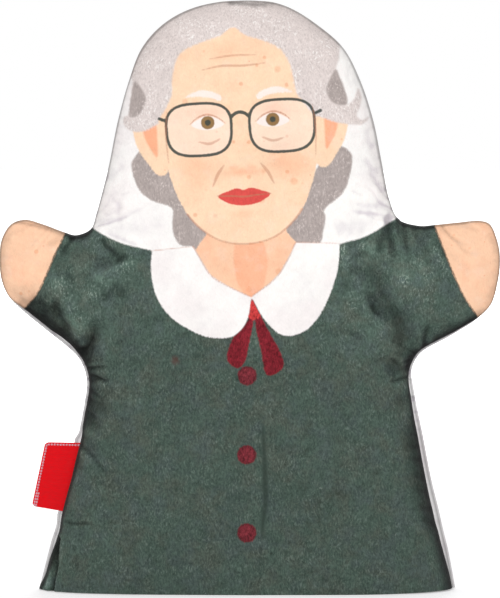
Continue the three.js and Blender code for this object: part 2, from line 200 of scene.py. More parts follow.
def span(a, b, start, end, x):
    """The start value before a, the end value past b, and a soft passage between them."""
    return mix(start, end, smooth(a, b, x))


def hump(a, b, c, d, x, much=1.0):
    """Rises from 0 between a and b, and falls back to 0 between c and d."""
    return much * smooth(a, b, x) * fade(c, d, x)


def side_points(s, side, word, skirt, arm, head):
    """One side's points from the hem to the crown."""
    hem, waist, under, neck, shoulder = mm(
        s, "hem_" + word, "waist_" + word, "underarm_" + word, "neck_" + word, "shoulder_" + word
    )
    reach, top, height = mm(s, "reach", "arm_top", "height")
    points = [(side * mix(hem, waist, a), under * up) for up, a in skirt]
    points.append((side * waist, under))
    points += [(side * mix(waist, reach, o), mix(under, top, up)) for o, up in arm]
    points.append((side * neck, shoulder))
    points += [(side * neck * a, mix(shoulder, height, up)) for a, up in head]
    return points


def curve_through(points, closed=False, per=12):
    """A smooth line through the points (centripetal), as an array."""
    p = np.array(points, float)
    n = len(p)
    out = []
    for i in range(n if closed else n - 1):
        if closed:
            p0, p1, p2, p3 = p[i - 1], p[i], p[(i + 1) % n], p[(i + 2) % n]
        else:
            p1, p2 = p[i], p[i + 1]
            p0 = p[i - 1] if i else 2 * p1 - p2
            p3 = p[i + 2] if i + 2 < n else 2 * p2 - p1
        steps = ((p0, p1), (p1, p2), (p2, p3))
        d0, d1, d2 = (max(np.linalg.norm(b - a), 1e-6) ** 0.5 for a, b in steps)
        t1 = ((p1 - p0) / d0 - (p2 - p0) / (d0 + d1) + (p2 - p1) / d1) * d1
        t2 = ((p2 - p1) / d1 - (p3 - p1) / (d1 + d2) + (p3 - p2) / d2) * d1
        t = np.linspace(0, 1, per, endpoint=False)[:, None]
        out.append(
            p1 + t1 * t + (3 * (p2 - p1) - 2 * t1 - t2) * t**2 + (2 * (p1 - p2) + t1 + t2) * t**3
        )
    if not closed:
        out.append(p[-1:])
    return np.vstack(out)


def resample(line, steps):
    """Points along a line, steps apart, where steps is a function of a point's height."""
    seg = np.linalg.norm(np.diff(line, axis=0), axis=1)
    far = np.concatenate([[0], np.cumsum(seg)])
    mid = (line[1:] + line[:-1]) / 2
    count = np.concatenate([[0], np.cumsum(seg / steps(mid[:, 1]))])
    n = int(round(count[-1]))
    at = np.interp(np.linspace(0, count[-1], n + 1), count, far)
    return np.column_stack([np.interp(at, far, line[:, k]) for k in (0, 1)])


def silhouette(s):
    """The soft outline as a line: the sewn pattern's, and where it stands further out in mm,
    by height."""
    left = side_points(s, -1, "left", SKIRT_LEFT, ARM_LEFT, HEAD_LEFT)
    right = side_points(s, 1, "right", SKIRT_RIGHT, ARM_RIGHT, HEAD_RIGHT)
    line = curve_through(left + right[::-1], per=60)
    give, flare, height = mm(s, "give", "flare", "height")
    x, z = line.T
    waist = hump(102, 112, 118, 132, z)
    left = 0.6 * fade(0, 10, z) + hump(2, 10, 24, 32, z, 0.5)
    left += hump(78, 84, 90, 101, z, 0.4)
    left += hump(94, 99, 128, 138, z, 0.22) - 0.4 * waist
    right = 1.4 * fade(8, 36, z) + hump(10, 24, 104, 111, z, 0.45)
    right += hump(120, 124, 129, 134, z, 0.24)
    right -= 0.1 * waist + 0.35 * (x > 76) * smooth(172, 182, z)
    right += hump(140, 147, 168, 176, z, 0.35 * smooth(112, 120, x))
    crown = 0.4 * (z > 270) * fade(4, 14, np.abs(x + 1))
    by = give * fade(205, 250, z) + flare * (np.where(x < 0, left, right) - crown)
    return line - inward_of(line, height) * by[:, None]


# Where the label holds the left seam, the back is pulled out: height and distance in mm.
LABEL_PULLS = ((76, 1.7), (38.6, 0.9))
PULL_REACH = 3.2


def beside_label(p):
    """How far the back is pulled out just above and below the label in the left seam."""
    x, z = p.T
    return (x < 0) * sum(by * np.exp(-(((z - at) / PULL_REACH) ** 2)) for at, by in LABEL_PULLS)


def inward_of(line, height):
    """Directions from the line into the cloth, level near the hem so that its ends stay down."""
    d = np.gradient(line, axis=0)
    d /= np.linalg.norm(d, axis=1)[:, None]
    n = np.column_stack([d[:, 1], -d[:, 0]])
    level = fade(0, 0.07 * height, line[:, 1])
    n[:, 0] = mix(n[:, 0], np.sign(-line[:, 0]), level)
    n[:, 1] = mix(n[:, 1], 0, level)
    return n / np.linalg.norm(n, axis=1)[:, None]


def ring_at(line, inward, by):
    """The line moved inwards, and smoothed more the further it moves."""
    ring = line + inward * by
    for _ in range(int(14 * by)):
        ring[1:-1] = ring[1:-1] / 2 + (ring[:-2] + ring[2:]) / 4
    return ring


def nearest(x, z, a, b):
    """How far along the way from a to b each point's nearest place is, 0 to 1, and how far off."""
    (ax, az), (bx, bz) = a, b
    dx, dz = bx - ax, bz - az
    t = np.clip(((x - ax) * dx + (z - az) * dz) / max(dx * dx + dz * dz, 1e-12), 0, 1)
    return t, np.hypot(x - ax - dx * t, z - az - dz * t)


def beside(line, points):
    """The same for each step of a line in turn, with the way counted along the whole line."""
    x, z = points.T
    n = len(line) - 1
    for i in range(n):
        t, far = nearest(x, z, line[i], line[i + 1])
        yield (i + t) / n, far


def signed(polygon, points):
    """Distance in mm from the polygon's edge, positive inside."""
    best = np.full(len(points), 1e9)
    hit = np.zeros(len(points), bool)
    x, z = points.T
    for a, b in zip(polygon, np.roll(polygon, -1, axis=0)):
        best = np.minimum(best, nearest(x, z, a, b)[1])
        (ax, az), (bx, bz) = a, b
        if az != bz:
            crosses = (az > z) != (bz > z)
            hit ^= crosses & (x < (bx - ax) * (z - az) / (bz - az) + ax)
    return np.where(hit, best, -best)


def stroke(line, points, half, ends=0.0):
    """A pen line of the given half width, thinner towards its ends."""
    best = np.full(len(points), -1e9)
    for along, far in beside(line, points):
        width = half * (1 - ends * (2 * along - 1) ** 2)
        best = np.maximum(best, width - far)
    return best


# Panels -------------------------------------------------------------------

# All in mm.
SEAM_GAP = 0.06  # between the two panels along the seam
BACK_SEAM = 0.7  # how far behind the middle the back's edge lies
ROLL = 0.4  # how far in from the edge the cloth turns over
RINGS = (0.35, 0.85, 1.55)  # rows of points beside the seam
RINGS_CLEAR = 1.9  # the even net starts this far from the seam
HEM_CLEAR = 0.6  # the hem's own points keep this far from those rows
ALONG_STEP = 0.25  # of the points that measure the way along the seam
ROW = 0.866  # height of a row of the net, as a share of its step


def even(step):
    """The same step at every height."""
    return lambda z: np.full(np.shape(z), step)


class Panel:
    """One sewn panel as points in mm: a flat net, its puffed outer face and inner face."""

    def __init__(self, s, cloth, side):
        self.s, self.side = s, side
        (self.height,) = mm(s, "height")
        outline = silhouette(s)
        fine, body, back = mm(cloth, "fine_step", "body_step", "back_step")
        shoulder = (s.shoulder_left + s.shoulder_right) / 2 / MM
        if side < 0:
            self.step = lambda z: mix(body, fine, smooth(shoulder - 8, shoulder - 2, z))
            outline = outline + inward_of(outline, self.height) * self.tuck(outline)[:, None]
        else:
            self.step = even(back)
            outline = outline - inward_of(outline, self.height) * beside_label(outline)[:, None]
        self.line = resample(outline, self.step)
        self.inward = inward_of(self.line, self.height)
        self.make_net()
        self.puff()
        self.faces_of_cloth()

    def tuck(self, p):
        """How far the front's edge is drawn in, which leaves the back's edge in sight."""
        (by,) = mm(self.s, "back_shows")
        x, z = p.T
        wander = rough(p, 14, 6.6)
        left = smooth(1, 9, z) * span(16, 26, 0.7, 1.08, z) * span(30, 40, 1, 0.58, z)
        left *= 1 + 0.25 * wander
        left = mix(left, 0.58, smooth(98, 106, z))
        left += 0.36 * smooth(119, 124, z) * (1 - 0.6 * smooth(127, 132, z))
        left *= fade(139, 151, z)
        right = span(3, 24, 0.72, 1.28, z) * span(84, 100, 1, 0.78, z)
        right *= 1 + 0.06 * wander
        right = mix(right, 0.56, smooth(104, 112, z)) * span(127, 132, 1, 0.62, z)
        right *= fade(134, 141, z)
        right += hump(30, 36, 44, 56, z, 0.24)
        return by * np.where(x < 0, left, right)

    def hem_curl(self, p):
        """How far the hem's corners lift, more and sooner on the right."""
        hem, lift = mm(self.s, "hem_right", "hem_lift")
        out = np.abs(p[:, 0] / hem) ** np.where(p[:, 0] < 0, 0.8, 3)
        return lift * np.where(p[:, 0] < 0, 0.55, 1) * out * fade(0, 30, p[:, 1])

    def make_net(self):
        """A flat net of triangles inside the outline, finest beside the seam."""
        line, inward, n = self.line, self.inward, len(self.line)
        hem_step = float(self.step(0))
        rings = [line] + [line + inward * by for by in RINGS]
        steps = max(4, int((line[-1, 0] - line[0, 0]) / hem_step))
        hem_x = np.linspace(line[-1, 0], line[0, 0], steps + 1)[1:-1]
        right, left = rings[-1][-1, 0], rings[-1][0, 0]
        hem_x = hem_x[(hem_x < right - HEM_CLEAR) & (hem_x > left + HEM_CLEAR)]
        hem = np.column_stack([hem_x, np.zeros(len(hem_x))])
        dense = resample(line, even(ALONG_STEP))
        tree = KDTree(len(dense))
        for i, p in enumerate(dense):
            tree.insert((p[0], p[1], 0), i)
        tree.balance()
        grid = []
        z, row = 0.0, 0
        reach = self.s.reach / MM
        while z < self.height:
            h = float(self.step(z))
            z += h * ROW
            row += 1
            xs = np.arange(-reach - h, reach + h, h) + (row % 2) * h / 2
            grid.append(np.column_stack([xs, np.full(len(xs), z)]))
        grid = np.vstack(grid)
        loop = np.vstack([line, hem])
        # a coarser loop is near enough to tell inside from outside
        grid = grid[signed(loop[::4] if len(loop) > 400 else loop, grid) > 0.5]
        near = np.array([tree.find((p[0], p[1], 0))[2] for p in grid])
        grid = grid[near > RINGS_CLEAR]
        grid = grid[grid[:, 1] > 0.55 * hem_step]
        points = np.vstack(rings + [hem, grid])
        base = 4 * n
        edges = [(i, i + 1) for i in range(n - 1)]
        rim_order = [n - 1, 2 * n - 1, 3 * n - 1, 4 * n - 1]
        rim_order += list(range(base, base + len(hem))) + [3 * n, 2 * n, n, 0]
        edges += list(zip(rim_order[:-1], rim_order[1:]))
        out = delaunay_2d_cdt([Vector(p) for p in points], edges, [], 1, 1e-5)
        where = {old: new for new, olds in enumerate(out[3]) for old in olds}
        self.flat = np.array([(v.x, v.y) for v in out[0]])
        self.tris = np.array(out[2], np.int64)
        a, b, c = (self.flat[self.tris[:, k]] for k in range(3))
        area = np.cross(b - a, c - a)
        turned = area * self.side > 0
        self.tris[turned] = self.tris[turned][:, ::-1]
        self.tris = self.tris[np.abs(area) > 1e-7]
        self.ring = np.array([where[i] for i in range(n)])
        self.rim = np.array([where[i] for i in rim_order])
        found = [tree.find((p[0], p[1], 0)) for p in self.flat]
        self.far = np.array([f[2] for f in found])
        self.along = np.array([f[1] for f in found]) * ALONG_STEP
        for p in (self.flat, self.line):
            p[:, 1] += self.hem_curl(p)

    def puff(self):
        """Rise of a skin that is held at the seam and free at the hem, 0 to 1, by conjugate
        gradients on the net."""
        p, t = self.flat, self.tris
        count = len(p)
        rise = self.s.puff_rise / MM
        rows, cols, weights = [], [], []
        area = np.zeros(count)
        for k in range(3):
            a, b, c = t[:, k], t[:, (k + 1) % 3], t[:, (k + 2) % 3]
            u, v = p[b] - p[a], p[c] - p[a]
            cross = np.abs(u[:, 0] * v[:, 1] - u[:, 1] * v[:, 0])
            w = 0.5 * (u * v).sum(1) / cross
            rows += [b, c]
            cols += [c, b]
            weights += [w, w]
            area += np.bincount(a, cross / 6, count)
        rows, cols, weights = (np.concatenate(v) for v in (rows, cols, weights))
        own = area / rise**2
        total = np.bincount(rows, weights, count) + own
        free = np.ones(count, bool)
        free[self.ring] = False

        def apply(u):
            out = total * u - np.bincount(rows, weights * u[cols], count)
            out[~free] = 0
            return out

        u = np.zeros(count)
        r = np.where(free, own, 0) - apply(u)
        z = r / total
        d, rz = z.copy(), (r * z).sum()
        for _ in range(600):
            q = apply(d)
            step = rz / (d * q).sum()
            u += step * d
            r -= step * q
            z = r / total
            new = (r * z).sum()
            if new < 1e-10:
                break
            d = z + d * new / rz
            rz = new
        self.rise = np.clip(u, 0, 1)

    def depth(self):
        """Half of the depth that the cloth would reach at each point, far from any seam."""
        s = self.s
        mouth, neck, head, arm, blend, height = mm(
            s, "mouth_depth", "neck_depth", "head_depth", "arm_depth", "arm_blend", "height"
        )
        shoulder = (s.shoulder_left + s.shoulder_right) / 2 / MM
        x, z = self.flat.T
        trunk = mix(mouth, neck, smooth(0, shoulder, z))
        body = mix(trunk, head, smooth(shoulder, mix(shoulder, height, 0.5), z))
        start = min(s.waist_left, s.waist_right) / MM - 0.6 * blend
        under, top = mm(s, "underarm_right", "arm_top")
        # only the arms are thinner, so the skirt below them is left out
        out = smooth(start, start + blend, np.abs(x)) * smooth(0.55 * under, under, z)
        return mix(body, arm, np.where(z < 1.02 * top, out, 0)) / 2

    def normals(self, p):
        """Directions out of the cloth at each point."""
        a, b, c = (p[self.tris[:, k]] for k in range(3))
        face = np.cross(b - a, c - a)
        n = np.zeros_like(p)
        for k in range(3):
            for axis in range(3):
                n[:, axis] += np.bincount(self.tris[:, k], face[:, axis], len(p))
        return n / np.maximum(np.linalg.norm(n, axis=1), 1e-12)[:, None]

    def faces_of_cloth(self):
        """Both faces of the cloth, and the rows of points of its turned-in allowance."""
        s, side = self.s, self.side
        (cloth,) = mm(s, "cloth")
        x, z = self.flat.T
        rise = SEAM_GAP + np.sqrt(self.rise) * self.depth()
        rise[self.ring] = SEAM_GAP
        outer = np.column_stack([x, side * rise, z])
        lift, self.tone, self.edge = relief(self)
        outer += self.normals(outer) * lift[:, None]
        normal = self.normals(outer)
        inner = outer - normal * cloth
        rim = self.rim
        level = normal[rim] * (1, 1, 0)
        level /= np.linalg.norm(level, axis=1)[:, None]
        inner[rim] = outer[rim] - level * cloth
        seam = np.zeros((len(self.line), 3))
        seam[:, 0], seam[:, 2] = self.inward.T
        inner[self.ring] = outer[self.ring] + seam * cloth
        inner[self.ring, 1] = side * (SEAM_GAP + cloth)
        if side > 0:
            outer[self.ring, 1] = BACK_SEAM
            inner[self.ring, 1] = BACK_SEAM + cloth
        self.outer, self.inner, self.normal = outer, inner, normal
        turn = ring_at(self.line, self.inward, s.allowance / MM)
        roll = self.line + self.inward * ROLL
        flat = np.full(len(turn), side * SEAM_GAP)
        self.roll = np.column_stack([roll[:, 0], flat, roll[:, 1]])
        self.low = np.column_stack([turn[:, 0], flat, turn[:, 1]])
        self.high = self.low + (0, side * cloth, 0)


# Relief --------------------------------------------------------------------

# Folds of the cloth and the painted shade and highlights laid along them: points in mm, depth, half
# width, and how much painted shade darkens the cloth there (below zero: a painted highlight makes
# it paler). The front first, then the back.
FOLDS = {
    -1: [
        # left hem corner and label
        ([(-96.6, 26.5), (-97.6, 20), (-98.5, 13), (-99.8, 6), (-101.2, -4)], 2.0, 0.9, 0.88),
        ([(-96.6, 27), (-98.8, 19), (-101.3, 12), (-102.6, 8)], 0.2, 0.9, 0.7),
        ([(-97.4, 22), (-99, 14), (-101, 9)], 0.2, 1.6, 0.15),
        ([(-94.8, 27), (-95.4, 19), (-96.6, 11)], -0.2, 1.1, -0.14),
        ([(-103, 8), (-103.6, 3), (-104, -2)], 0.0, 1.8, -0.28),
        ([(-93, 35.6), (-88, 35.1), (-83, 35.7), (-77, 35.2)], 0.5, 0.8, 0.5),
        ([(-85.5, 74.5), (-82, 71.6), (-79, 70.6), (-76.5, 72.2)], 0.5, 1.4, 0.42),
        ([(-80, 69.4), (-77, 66), (-74, 63), (-70, 56)], 0.5, 1.0, 0.36),
        ([(-84, 72), (-82, 69), (-84.5, 66)], -0.2, 1.5, -0.14),
        ([(-88, 69), (-86.5, 64), (-85, 60)], 0.2, 1.6, 0.25),
        ([(-89, 19.5), (-88, 15), (-87, 11)], 0.3, 1.0, 0.26),
        # left side and underarm
        ([(-82.5, 101), (-79.5, 101.5), (-77, 99.8), (-74, 97.4)], 0.8, 1.0, 0.55),
        ([(-82, 96), (-77, 94), (-71, 96)], 0.4, 3.4, 0.36),
        ([(-82.5, 92), (-79, 89.6), (-76, 87)], 0.6, 1.3, 0.42),
        ([(-83, 88), (-78, 86), (-73, 83.6)], 0.6, 2.8, 0.4),
        ([(-84, 82), (-80, 79), (-77, 78)], -0.2, 1.5, -0.1),
        ([(-86, 80), (-81, 74.6), (-77, 71)], 0.2, 3.0, 0.3),
        ([(-103.6, 1), (-102, 7), (-101, 12.6)], 0.0, 1.2, -0.6),
        ([(-81, 129), (-77.6, 120), (-76, 111)], 0.3, 3.4, 0.4),
        ([(-74, 104), (-73, 94), (-75, 83)], 0.0, 3.6, 0.22),
        ([(-81, 110), (-80, 98), (-81, 88), (-84, 76)], 0.0, 3.6, 0.34),
        ([(-82, 109), (-79, 109.6), (-76, 108.6), (-73, 107.6), (-70, 107.3)], 1.1, 0.85, 0.74),
        ([(-82, 106), (-79, 107.2), (-77, 108.4)], 0.4, 0.8, 0.4),
        ([(-83, 113), (-79, 114), (-75, 114.8), (-70, 116)], 1.0, 0.8, 0.66),
        ([(-84, 117.4), (-81, 118.5), (-80, 123), (-79.2, 127)], 0.6, 0.85, 0.55),
        ([(-82, 114), (-83.4, 119), (-86.6, 123.6), (-92, 127.5)], 0.3, 3.2, 0.7),
        ([(-85.5, 122.5), (-82.6, 124.6), (-80.4, 128.4), (-79.2, 133)], 0.9, 1.0, 0.5),
        ([(-83, 122), (-80, 128), (-78.6, 134), (-77.4, 143)], 1.5, 3.2, 0.56),
        ([(-88, 146), (-87.6, 137), (-86, 129)], -0.7, 3.4, -0.12),
        ([(-112, 143), (-105, 139), (-98, 134), (-92, 128.5), (-88, 124)], 0.6, 3.9, 0.8),
        ([(-114, 147), (-106, 146.5), (-100, 142.5), (-95.5, 136)], 0.4, 5.4, 0.7),
        ([(-98.5, 147), (-95.6, 140), (-93, 135), (-90, 129)], 0.9, 1.9, 0.55),
        ([(-106, 149), (-104.6, 144), (-102, 138)], 0.3, 1.8, 0.34),
        # left shoulder
        ([(-90.5, 179.6), (-86, 179.4), (-82, 181.4), (-79.6, 184)], 0.3, 1.6, 0.55),
        ([(-90, 179), (-93, 175), (-96, 169)], 0.7, 1.5, 0.5),
        ([(-96.5, 169), (-97, 165), (-96, 161)], 0.3, 1.6, 0.22),
        ([(-74, 179), (-71.4, 175.6), (-67, 171.8), (-63.6, 169.6)], 0.6, 1.7, 0.62),
        ([(-63.4, 170.4), (-66, 169.2), (-69.6, 167.6)], 0.4, 1.6, 0.6),
        ([(-79, 168), (-73, 168.6), (-67, 171), (-58, 172.4)], 0.3, 3.6, 0.22),
        ([(-64, 168), (-68, 166.8), (-73, 165.4), (-79, 160.6)], 0.8, 2.0, 0.26),
        ([(-80, 159.4), (-74, 162.6), (-69, 165.4), (-60, 167.4), (-53, 165.6)], -0.7, 2.2, -0.5),
        ([(-97, 175.6), (-90, 174.6), (-84, 178)], 0.2, 3.0, 0.2),
        ([(-85, 149), (-80, 152.2), (-76, 149)], -0.4, 2.4, -0.3),
        ([(-98, 161), (-97, 157), (-94.5, 151)], -0.3, 3.4, -0.3),
        ([(-88, 166), (-84, 165), (-82, 161)], -0.3, 2.6, -0.24),
        ([(-76, 156), (-70, 158), (-56, 164)], -0.3, 3.4, -0.14),
        ([(-91.4, 160.4), (-88, 158)], 0.2, 2.4, 0.3),
        ([(-72, 151), (-68, 154.4), (-65, 151.6), (-63.4, 155.4), (-56, 159)], 0.5, 2.5, 0.42),
        ([(-44, 141.4), (-49, 138.6), (-56, 139)], 0.3, 2.2, 0.2),
        ([(-38, 131.4), (-33, 131.6), (-29, 131)], 0.2, 1.4, 0.2),
        ([(-56, 157), (-54, 153), (-51, 150)], -0.2, 1.8, -0.14),
        # right shoulder gathers
        ([(71, 190), (71, 183), (71.6, 176), (73, 168)], 0.9, 1.8, 0.56),
        ([(70, 187), (67.4, 181), (66, 176), (66, 170.6)], 0.6, 2.0, 0.5),
        ([(78, 188.5), (78.4, 182), (79.6, 176), (81.6, 170)], 0.7, 1.7, 0.5),
        ([(74.6, 189), (75, 184), (75.4, 179)], 0.3, 1.3, 0.6),
        ([(82, 187), (84, 182), (87, 178), (89.6, 173.6), (93, 169)], 0.7, 1.9, 0.26),
        ([(88, 186), (90, 182), (92, 179)], 0.2, 1.0, 0.22),
        ([(73.4, 185), (73.8, 178), (75.6, 172)], -0.4, 1.0, -0.16),
        ([(62.6, 178), (62, 175), (62.6, 171.6)], -0.3, 2.2, -0.36),
        ([(56, 178), (57.6, 173)], -0.2, 2.2, -0.3),
        ([(68.6, 175), (69.2, 169)], -0.3, 1.1, -0.26),
        ([(90.4, 181), (93.6, 174), (98.6, 166), (104, 158)], -0.3, 1.2, -0.24),
        ([(95, 177.4), (97.4, 173.4), (100, 168.6)], 0.2, 0.9, 0.4),
        ([(72, 166), (80, 164.6), (88, 165.4), (97, 162)], -0.3, 5.4, -0.34),
        ([(74, 160), (85, 157), (99, 155)], -0.3, 6.4, -0.2),
        # right chest and underarm
        ([(62, 163), (65, 158), (67.6, 153), (70.6, 148), (73, 144), (77, 138), (80, 130),
          (81, 122)], 1.4, 4.1, 0.42),
        ([(82, 150), (83, 138), (84, 128)], 0.0, 3.6, 0.18),
        ([(61.4, 146.4), (63.4, 142.8), (67.6, 141)], 0.3, 1.3, 0.6),
        ([(62, 150), (66, 143.4), (72, 141)], 0.4, 4.6, 0.56),
        ([(74.6, 140), (76.4, 132), (79, 124)], 0.5, 4.4, 0.4),
        ([(60, 158), (56, 150), (62, 138)], -0.4, 2.6, -0.08),
        ([(50, 165), (54, 164), (60.4, 164.6)], 0.3, 2.2, 0.26),
        ([(46, 158.4), (50, 156), (53, 157)], 0.2, 1.9, 0.26),
        ([(56.6, 173), (53.6, 170.8)], 0.2, 1.6, 0.34),
        ([(36, 135.4), (42, 132), (50, 133), (56, 129.8), (59, 127)], 0.5, 1.7, 0.24),
        ([(47, 178), (48, 172), (47, 163)], -0.2, 2.0, -0.44),
        ([(43, 146), (46, 142)], -0.2, 1.6, -0.18),
        ([(88.4, 124), (89, 130), (91.6, 139)], 0.8, 1.4, 0.62),
        ([(117, 140), (108, 135), (98, 129.6), (87, 124)], 0.3, 3.0, 0.5),
        ([(86, 130), (95, 133), (104, 136.5)], 0.2, 4.6, 0.22),
        ([(82, 120), (84, 126), (85.6, 132)], 0.2, 3.0, 0.42),
        ([(78, 122), (74, 119), (66, 119)], 0.2, 3.0, 0.26),
        ([(-79, 108), (-75, 110.4), (-71, 109.6)], 0.2, 1.6, 0.3),
        ([(80.8, 114), (82, 118.6), (85.4, 121.6), (91, 124.4)], 0.3, 2.0, 0.88),
        ([(81, 118), (77.4, 124), (75.6, 134)], 0.6, 3.4, 0.4),
        ([(72, 119), (74.6, 116.6), (76.4, 113)], 0.6, 0.85, 0.5),
        ([(81.6, 109.4), (77, 108.4), (73.6, 107.6), (69, 107.8)], 0.9, 0.9, 0.6),
        ([(82, 114.4), (77, 113), (72, 113.6), (67, 115.4)], 0.6, 3.8, 0.4),
        ([(71.6, 117), (70.4, 113), (71, 109.6)], 0.3, 1.2, 0.25),
        ([(62, 119), (66, 118.4), (70, 119)], 0.2, 1.2, 0.18),
        ([(76, 98), (79, 94)], 0.3, 2.4, 0.3),
        # right side of the skirt
        ([(86, 73), (82.6, 74), (79.6, 76)], 0.4, 1.2, 0.34),
        ([(88, 66), (84.4, 67), (80.6, 69)], 0.4, 1.2, 0.3),
        ([(89.6, 57), (86, 58.4), (82, 61)], 0.5, 1.3, 0.34),
        ([(91, 50), (86.6, 51.6), (83, 55)], 0.4, 1.2, 0.3),
        ([(93.4, 41), (88.6, 42.6), (84.6, 46)], 0.4, 1.2, 0.26),
        ([(95.6, 33), (91, 35), (87.6, 39)], 0.4, 1.2, 0.26),
        ([(98, 25), (93.4, 26.6)], 0.3, 1.1, 0.3),
        # soft marks across the skirt
        ([(31, 45.6), (35, 46.8), (39, 49.6)], 0.2, 0.9, 0.2),
        ([(40, 51.4), (48, 53.4)], 0.2, 1.2, 0.15),
        ([(44, 77), (50, 79), (57, 77.6)], 0.2, 1.9, 0.13),
        ([(26, 54), (34, 54.6)], 0.1, 0.9, 0.14),
        ([(6.3, 28), (5.7, 16), (5.2, 6), (5, -4)], 0.1, 0.8, 0.2),
        ([(-36, 57), (-38, 49)], 0.2, 2.6, 0.12),
        ([(-46, 30.6), (-44, 28.6)], 0.1, 1.0, 0.2),
        ([(-60, 33), (-53, 31)], 0.2, 1.2, 0.14),
        ([(-12, 118), (-2, 116.5), (14, 118), (26, 116)], 0.22, 1.6, 0.05),
        # painted shade along the top edge of the crown
        ([(-10, 298.6), (-4, 298.3), (0, 297.9), (5, 297.7), (10, 298), (20, 297)], 0.1, 1.2, 0.78),
        # white sides of the head
        ([(-79, 186), (-72, 189), (-66, 190), (-60, 193.6), (-50, 194.6)], 0.5, 1.2, 0.14),
        ([(-76, 192), (-70, 193), (-66, 198), (-64, 204)], 0.3, 1.4, 0.08),
        ([(-73, 183), (-60, 185), (-46, 181)], 0.2, 4.2, 0.1),
        ([(42, 184), (56, 187), (69, 189)], 0.2, 4.6, 0.12),
        ([(50, 198), (58, 196), (66, 194)], 0.2, 2.6, 0.08),
        ([(-70, 200), (-66, 196), (-68, 189)], 0.3, 1.3, 0.13),
        ([(-60, 204), (-66, 201)], 0.2, 0.9, 0.12),
        ([(-74, 183), (-68, 181), (-60, 178), (-54, 175)], 0.3, 1.2, 0.16),
        ([(-71, 211), (-66, 214), (-62, 219)], 0.2, 1.2, 0.1),
        ([(75, 189.6), (70, 190.8), (62, 192.6), (55, 193.6), (49, 195.4)], 0.4, 1.0, 0.22),
        ([(72, 192), (68, 195.6), (62, 200)], 0.4, 1.8, 0.18),
        ([(70, 203), (66.6, 206), (63, 211), (60, 217)], 0.5, 1.4, 0.18),
        ([(66, 212), (62, 216), (57, 222)], 0.4, 1.3, 0.14),
        ([(58, 201.4), (54, 203), (49.6, 206)], 0.3, 0.9, 0.16),
        ([(66, 196), (58, 197), (52, 199)], 0.3, 1.4, 0.1),
        ([(63, 224), (60, 232), (61, 238)], 0.3, 1.6, 0.12),
        ([(51, 268), (50, 262), (52, 256)], 0.2, 1.0, 0.08),
        # hands
        ([(98, 185), (101.6, 181), (106, 178), (114, 175)], 0.6, 1.1, 0.34),
        ([(104, 177), (110, 173.2), (117, 170.6)], 0.4, 1.1, 0.2),
        ([(94, 184), (100, 174), (108, 166), (118, 161)], 0.4, 1.6, 0.12),
        ([(105, 188.6), (112, 185.2), (119, 182)], 0.4, 1.0, 0.14),
        ([(120, 183), (125, 175), (126.6, 166), (125.4, 157), (121, 149), (115, 142)],
         0.0, 1.7, 0.29),
        ([(97, 178), (101, 168), (108, 159)], 0.3, 1.6, 0.08),
        ([(-92, 184), (-98, 178), (-106, 176)], 0.6, 1.4, 0.28),
        ([(-119, 187.6), (-112, 186.5), (-104, 184.5), (-94, 181.1), (-86, 178)], 0.0, 0.8, 0.6),
        ([(-120, 184), (-124, 177), (-126, 168), (-125, 159), (-121, 152), (-116, 148)],
         0.0, 2.6, 0.29),
        ([(-117, 148), (-112, 144.6)], 0.0, 2.4, -0.4),
        ([(-96, 172), (-103, 166), (-111, 163)], 0.5, 1.6, 0.14),
        ([(-113, 145.6), (-118, 149.6), (-122, 156)], 0.4, 1.6, 0.06),
        ([(-104, 158), (-112, 153.6), (-122, 157)], 0.3, 4.8, 0.2),
    ],
    1: [
        ([(-79, 109), (-70, 113), (-60, 112)], 1.6, 2.4, 0.2),
        ([(-80, 104), (-72, 102), (-66, 103)], 0.9, 1.4, 0.15),
        ([(-82, 118), (-78, 126), (-77, 138)], 1.2, 2.0, 0.18),
        ([(79, 112), (70, 115), (58, 114)], 1.6, 2.4, 0.2),
        ([(80, 106), (72, 103), (64, 104)], 0.9, 1.4, 0.15),
        ([(82, 119), (78, 128), (76, 140)], 1.2, 2.0, 0.18),
        ([(-78, 182), (-66, 170), (-56, 160)], 1.2, 3.0, 0.14),
        ([(74, 187), (64, 176), (56, 166)], 1.2, 3.0, 0.14),
        ([(60, -4), (57, 20), (59, 44)], 1.4, 3.4, 0.1),
        ([(-34, -4), (-38, 24), (-36, 50)], 1.1, 4.0, 0.06),
        ([(-40, 196), (-8, 192), (30, 197)], 0.7, 4.0, 0.06),
        ([(-20, 120), (6, 124), (30, 118)], 0.4, 2.4, 0.05),
    ],
}

# Gathers that spread like a fan where the seam turns: centre in mm, the way the
# fan points and half its spread in degrees, near and far reach, depth, creases.
FANS = [
    ((-90, 114), 0, 84, 6, 26, 0.7, 9),
    ((89, 117), 178, 84, 6, 28, 0.8, 10),
    ((84, 186), 146, 34, 10, 50, 0.4, 6),
    ((-88, 180), 48, 36, 10, 52, 0.35, 6),
    ((92, 190), -28, 40, 8, 36, 0.5, 6),
    ((-96, 190), -148, 40, 8, 36, 0.4, 6),
]


def near_line(line, points):
    """Distance to a line of points and how far along it, 0 to 1."""
    far = np.full(len(points), 1e9)
    along = np.zeros(len(points))
    for share, distance in beside(line, points):
        closer = distance < far
        far = np.where(closer, distance, far)
        along = np.where(closer, share, along)
    return far, along


def rough(points, size, seed):
    """Smooth noise over the cloth, about -1 to 1, with bumps of the given size in mm."""
    return np.array(
        [noise.noise((x / size + seed, z / size - seed, seed * 1.7)) for x, z in points]
    )


